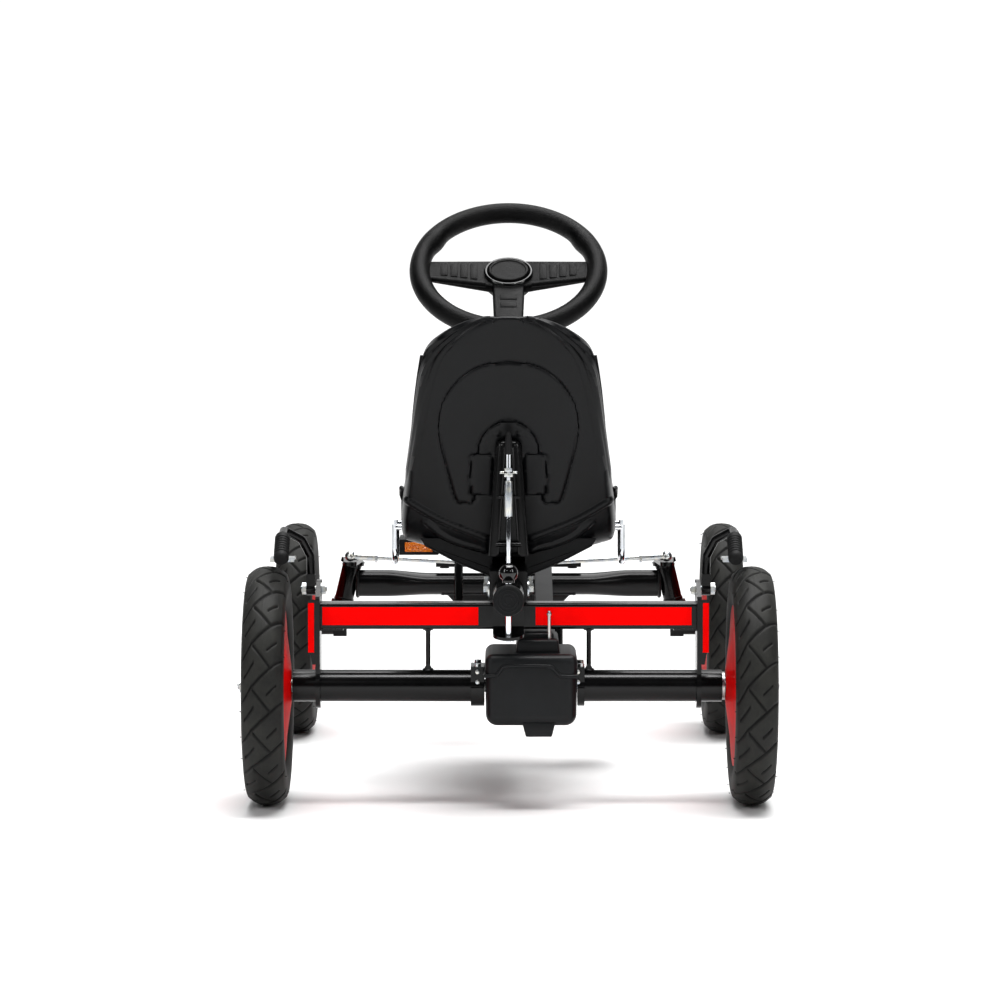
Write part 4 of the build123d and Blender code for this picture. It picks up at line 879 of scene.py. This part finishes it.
class KART_OT_front_beam(bpy.types.Operator):
    """Makes the formed front axle beam with its flattened ends, kingpin housings, yoke and welds"""

    bl_idname = "kart.front_beam"
    bl_label = "Front beam"

    def execute(self, context):
        y, z = centre_mm("tyre_front_left").y, BEAM_HEIGHT
        bm = bmesh.new()
        wire(bm, [(x, y, z) for x in np.linspace(-232, 232, 94)], 16.5, 48)
        for v in bm.verts:
            share = min(max((abs(v.co.x) - 118) / 70, 0), 1)
            share = share * share * (3 - 2 * share)
            v.co.y = y + (v.co.y - y) * (1 - 0.26 * share)
            v.co.z = z + (v.co.z - z) * (1 + 0.22 * share) + 1.0 * share
        yoke = slab(bm, (-107, y - 6, z - 30), (107, y + 6, z - 2), 0)
        for v in yoke:
            if v.co.z < z - 20:
                v.co.x *= 80 / 107
        round_edges(bm, edges_of(yoke), 1.2, 3)
        for side in SIDES.values():
            for start, end, radius in ((-29, 29, 14), (-29, -24, 14.9), (24, 29, 14.9)):
                ends = [(side * (KINGPIN_OUT - math.sin(KINGPIN_LEAN) * t), y,
                         KINGPIN_HEIGHT + math.cos(KINGPIN_LEAN) * t) for t in (start, end)]
                bar(bm, *ends, radius, 48, bevel=0.8)
        to_piece(bm, "front_beam_formed", "front_axle", "frame_paint", ["front_axle_beam"])
        bm = bmesh.new()
        for side in SIDES.values():
            ring = [(side * 229, y + 13.5 * math.cos(a), z + 1 + 20 * math.sin(a)) for a in all_round(48)]
            wire(bm, ring, beads(48, 2.0, 0.5), 10, closed=True)
            seam = [(side * x, y - 8, z - 14.5) for x in range(24, 104, 3)]
            wire(bm, seam, beads(len(seam), 2.0, 0.5), 10)
        to_piece(bm, "front_beam_welds", "front_axle", "weld")
        return {"FINISHED"}


# --- small fittings -----------------------------------------------------------------------------
GRIP_RADIUS = 10.0


def grip_ends(node):
    """Middles of the two ends of a handle grip, measured on its frame part."""
    points = np.array([v.co for v in frame["nodes"][node].data.vertices]) * 1000
    middle = points.mean(0)
    _, _, axes = np.linalg.svd(points - middle, full_matrices=False)
    reach = (points - middle) @ axes[0]
    return Vector(middle + axes[0] * reach.min()), Vector(middle + axes[0] * reach.max())


class KART_OT_fittings(bpy.types.Operator):
    """Makes the tube cap's rings, pedal treads and reflectors, grip ribs, pin details and welds"""

    bl_idname = "kart.fittings"
    bl_label = "Small fittings"

    def execute(self, context):
        low, _ = box_mm("tube_caps")
        z = centre_mm("main_tube").z
        bm = bmesh.new()
        for radius in (18.4, 14.0, 9.5, 5.0):
            ring = [(radius * math.cos(a), low.y - 0.1, z + radius * math.sin(a)) for a in all_round(64)]
            wire(bm, ring, 0.75, 8, closed=True)
        to_piece(bm, "tube_cap_rings", "frame", "black_plastic")
        for name, side in SIDES.items():
            low, high = box_mm(f"pedal_{name}")
            centre = (low + high) / 2
            bm = bmesh.new()
            slab(bm, (low.x + 3, low.y + 3, low.z + 1.5), (high.x - 3, high.y - 3, high.z - 1.5), 3)
            for y in (low.y + 3, high.y - 3):
                slab(bm, (low.x, y - 3, low.z + 0.5), (high.x, y + 3, high.z - 0.5), 2)
            for x in (low.x + 3, high.x - 3):
                slab(bm, (x - 3, low.y + 4, low.z + 0.5), (x + 3, high.y - 4, high.z - 0.5), 2)
            for x in np.linspace(low.x + 11, high.x - 11, 5):
                for y in np.linspace(low.y + 12, high.y - 12, 7):
                    for face, way in ((high.z - 2, 1), (low.z + 2, -1)):
                        bar(bm, (x, y, face), (x, y, face + way * 1.8), 2.2, 12, 1.5)
            to_piece(bm, f"pedal_{name}_body", f"pedal_{name}", "black_plastic", [f"pedal_{name}"])
            bm = bmesh.new()
            for y_low, y_high in ((low.y - 1.2, low.y + 1), (high.y - 1, high.y + 1.2)):
                slab(bm, (centre.x - 20, y_low, centre.z - 7), (centre.x + 20, y_high, centre.z + 7), 0.8)
            to_piece(bm, f"pedal_{name}_reflectors", f"pedal_{name}", "reflector")
            start, end = grip_ends(f"brake_grip_{name}")
            bm = bmesh.new()
            along = (end - start).normalized()
            span = (end - start).length
            full, ring = GRIP_RADIUS, GRIP_RADIUS - 0.9
            turned = [(0, 0.6), (0, full - 2), (1.6, full - 0.5), (4, full)]
            for i in range(7):
                at = 8 + i * (span - 16) / 7
                turned += [(at, full), (at + 1, ring), (at + 2.4, ring), (at + 3.4, full)]
            turned += [(span - 4, full), (span - 1.6, full - 0.6), (span, full - 2.4), (span, 0.6)]
            lathe(bm, turned, start, along, 56)
            to_piece(bm, f"brake_grip_{name}_ribbed", f"brake_lever_{name}", "grip_rubber",
                     [f"brake_grip_{name}"])
        _, high = box_mm("selector_pin")
        x, y = centre_mm("selector_pin").x, centre_mm("selector_pin").y
        bm = bmesh.new()
        bar(bm, (x, y, high.z - 5), (x, y, high.z - 2.5), 3.4, 24, bevel=0.4)
        to_piece(bm, "selector_pin_collar", "selector_pin", "black_plastic")
        low, _ = box_mm("hitch_pin")
        x, y = centre_mm("hitch_pin").x, centre_mm("hitch_pin").y
        bm = bmesh.new()
        for side in SIDES.values():
            leg = [(x, y, low.z + 3), (x + side * 3, y - 1, low.z + 2.6), (x + side * 6.5, y - 2, low.z + 0.8)]
            wire(bm, leg, 0.9, 10)
        to_piece(bm, "hitch_pin_cotter", "hitch_pin", "zinc_steel")
        bm = bmesh.new()
        rear_y = centre_mm("tyre_rear_left").y
        for side in SIDES.values():
            for height in (235.2, 180.5):
                ring = [(side * 107 + 5.5 * math.cos(a), rear_y + 5.5 * math.sin(a), height) for a in all_round(24)]
                wire(bm, ring, beads(24, 1.5, 0.4), 8, closed=True)
        to_piece(bm, "stay_welds", "frame", "weld")
        return {"FINISHED"}


# --- stage --------------------------------------------------------------------------------------
# Name, place, target, size and power of each studio light.
SOFTBOXES = (("strip_left", (-2.6, -2.4, 1.9), (0, 0, 0.3), (0.5, 2.0), 26),
             ("strip_right", (2.6, -2.4, 1.9), (0, 0, 0.3), (0.5, 2.0), 26),
             ("top", (0, -0.9, 2.6), (0, 0, 0.3), (1.6, 0.6), 30),
             ("spark_left", (-1.1, -3.6, 2.3), (0, 0, 0.4), (0.22, 0.22), 12),
             ("spark_right", (1.3, -3.6, 2.1), (0, 0, 0.4), (0.22, 0.22), 12))
CAMERA_BEHIND_AXLE = 5.46
CAMERA_HEIGHT = 0.779
CAMERA_DOWN = 3.9
CAMERA_LEFT = 0.118


def softbox(name, place, target, size, power):
    """Rectangular studio light aimed at a point."""
    light = bpy.data.lights.new(name, "AREA")
    light.shape = "RECTANGLE"
    light.size, light.size_y = size
    light.energy = power
    lamp = bpy.data.objects.new(name, light)
    lamp.location = place
    lamp.rotation_euler = (Vector(target) - Vector(place)).to_track_quat("-Z", "Y").to_euler()
    bpy.context.scene.collection.objects.link(lamp)


class KART_OT_stage(bpy.types.Operator):
    """Lays the white paper floor, sets the studio lights and places the camera"""

    bl_idname = "kart.stage"
    bl_label = "Stage"

    def execute(self, context):
        scene = context.scene
        bm = bmesh.new()
        bmesh.ops.create_grid(bm, x_segments=1, y_segments=1, size=40)
        mesh = bpy.data.meshes.new("floor")
        bm.to_mesh(mesh)
        bm.free()
        mesh.materials.append(MATERIALS["paper"])
        floor = bpy.data.objects.new("floor", mesh)
        scene.collection.objects.link(floor)
        world = bpy.data.worlds.new("studio")
        scene.world = world
        world.use_nodes = True
        tree = world.node_tree
        back = tree.nodes["Background"]
        back.inputs["Color"].default_value = (1, 1, 1, 1)
        heading = add(tree, "ShaderNodeTexCoord").outputs["Generated"]
        ahead = add(tree, "ShaderNodeSeparateXYZ", links={"Vector": heading}).outputs["Y"]
        wall = add(tree, "ShaderNodeMapRange", links={"Value": ahead},
                   values={"From Min": 0.35, "From Max": 0.85, "To Min": 0.05, "To Max": 0.9})
        seen = add(tree, "ShaderNodeLightPath").outputs["Is Camera Ray"]
        level = add(tree, "ShaderNodeMapRange", values={"To Max": 1.05},
                    links={"Value": seen, "To Min": wall.outputs["Result"]})
        tree.links.new(level.outputs["Result"], back.inputs["Strength"])
        sun = bpy.data.lights.new("overhead", "SUN")
        sun.energy = 3.6
        sun.angle = math.radians(55)
        lamp = bpy.data.objects.new("overhead", sun)
        lamp.rotation_euler = (math.radians(-12), math.radians(8), 0)
        scene.collection.objects.link(lamp)
        for values in SOFTBOXES:
            softbox(*values)
        lens = bpy.data.cameras.new("camera")
        lens.lens = 148.3
        lens.sensor_width = 36
        lens.clip_end = 200
        camera = bpy.data.objects.new("camera", lens)
        rear_axle = centre_mm("tyre_rear_left").y * MM
        camera.location = (0, rear_axle - CAMERA_BEHIND_AXLE, CAMERA_HEIGHT)
        camera.rotation_euler = (math.radians(90 - CAMERA_DOWN), 0, math.radians(CAMERA_LEFT))
        scene.collection.objects.link(camera)
        scene.camera = camera
        scene.view_settings.view_transform = "Standard"
        scene.view_settings.gamma = 0.84
        return {"FINISHED"}


# --- sidebar ------------------------------------------------------------------------------------
STEPS = (KART_OT_finishes, KART_OT_tyres, KART_OT_seat, KART_OT_seat_post, KART_OT_housing,
         KART_OT_front_beam, KART_OT_fittings, KART_OT_steering_wheel, KART_OT_stage)


class KART_PT_panel(bpy.types.Panel):
    """Sidebar panel with the kart's settings and build steps"""

    bl_idname = "KART_PT_panel"
    bl_label = "Pedal go kart"
    bl_space_type = "VIEW_3D"
    bl_region_type = "UI"
    bl_category = "Go Kart"

    def draw(self, context):
        column = self.layout.column()
        scene = context.scene
        for group in (scene.kart_tyres, scene.kart_seat, scene.kart_wheel, scene.kart_colours):
            for key in group.__annotations__:
                column.prop(group, key)
        for step in STEPS:
            column.operator(step.bl_idname, text=step.bl_label)


GROUPS = {"kart_tyres": KartTyreSettings, "kart_seat": KartSeatSettings, "kart_wheel": KartWheelSettings,
          "kart_colours": KartColourSettings}


def register():
    for group in GROUPS.values():
        bpy.utils.register_class(group)
    for name, group in GROUPS.items():
        setattr(bpy.types.Scene, name, bpy.props.PointerProperty(type=group))
    for step in (*STEPS, KART_PT_panel):
        bpy.utils.register_class(step)


def unregister():
    for step in (KART_PT_panel, *reversed(STEPS)):
        bpy.utils.unregister_class(step)
    for name, group in GROUPS.items():
        delattr(bpy.types.Scene, name)
        bpy.utils.unregister_class(group)


def main():
    """Builds everything in order."""
    register()
    for step in STEPS:
        group, action = step.bl_idname.split(".")
        getattr(getattr(bpy.ops, group), action)()


if __name__ == "__main__":
    main()
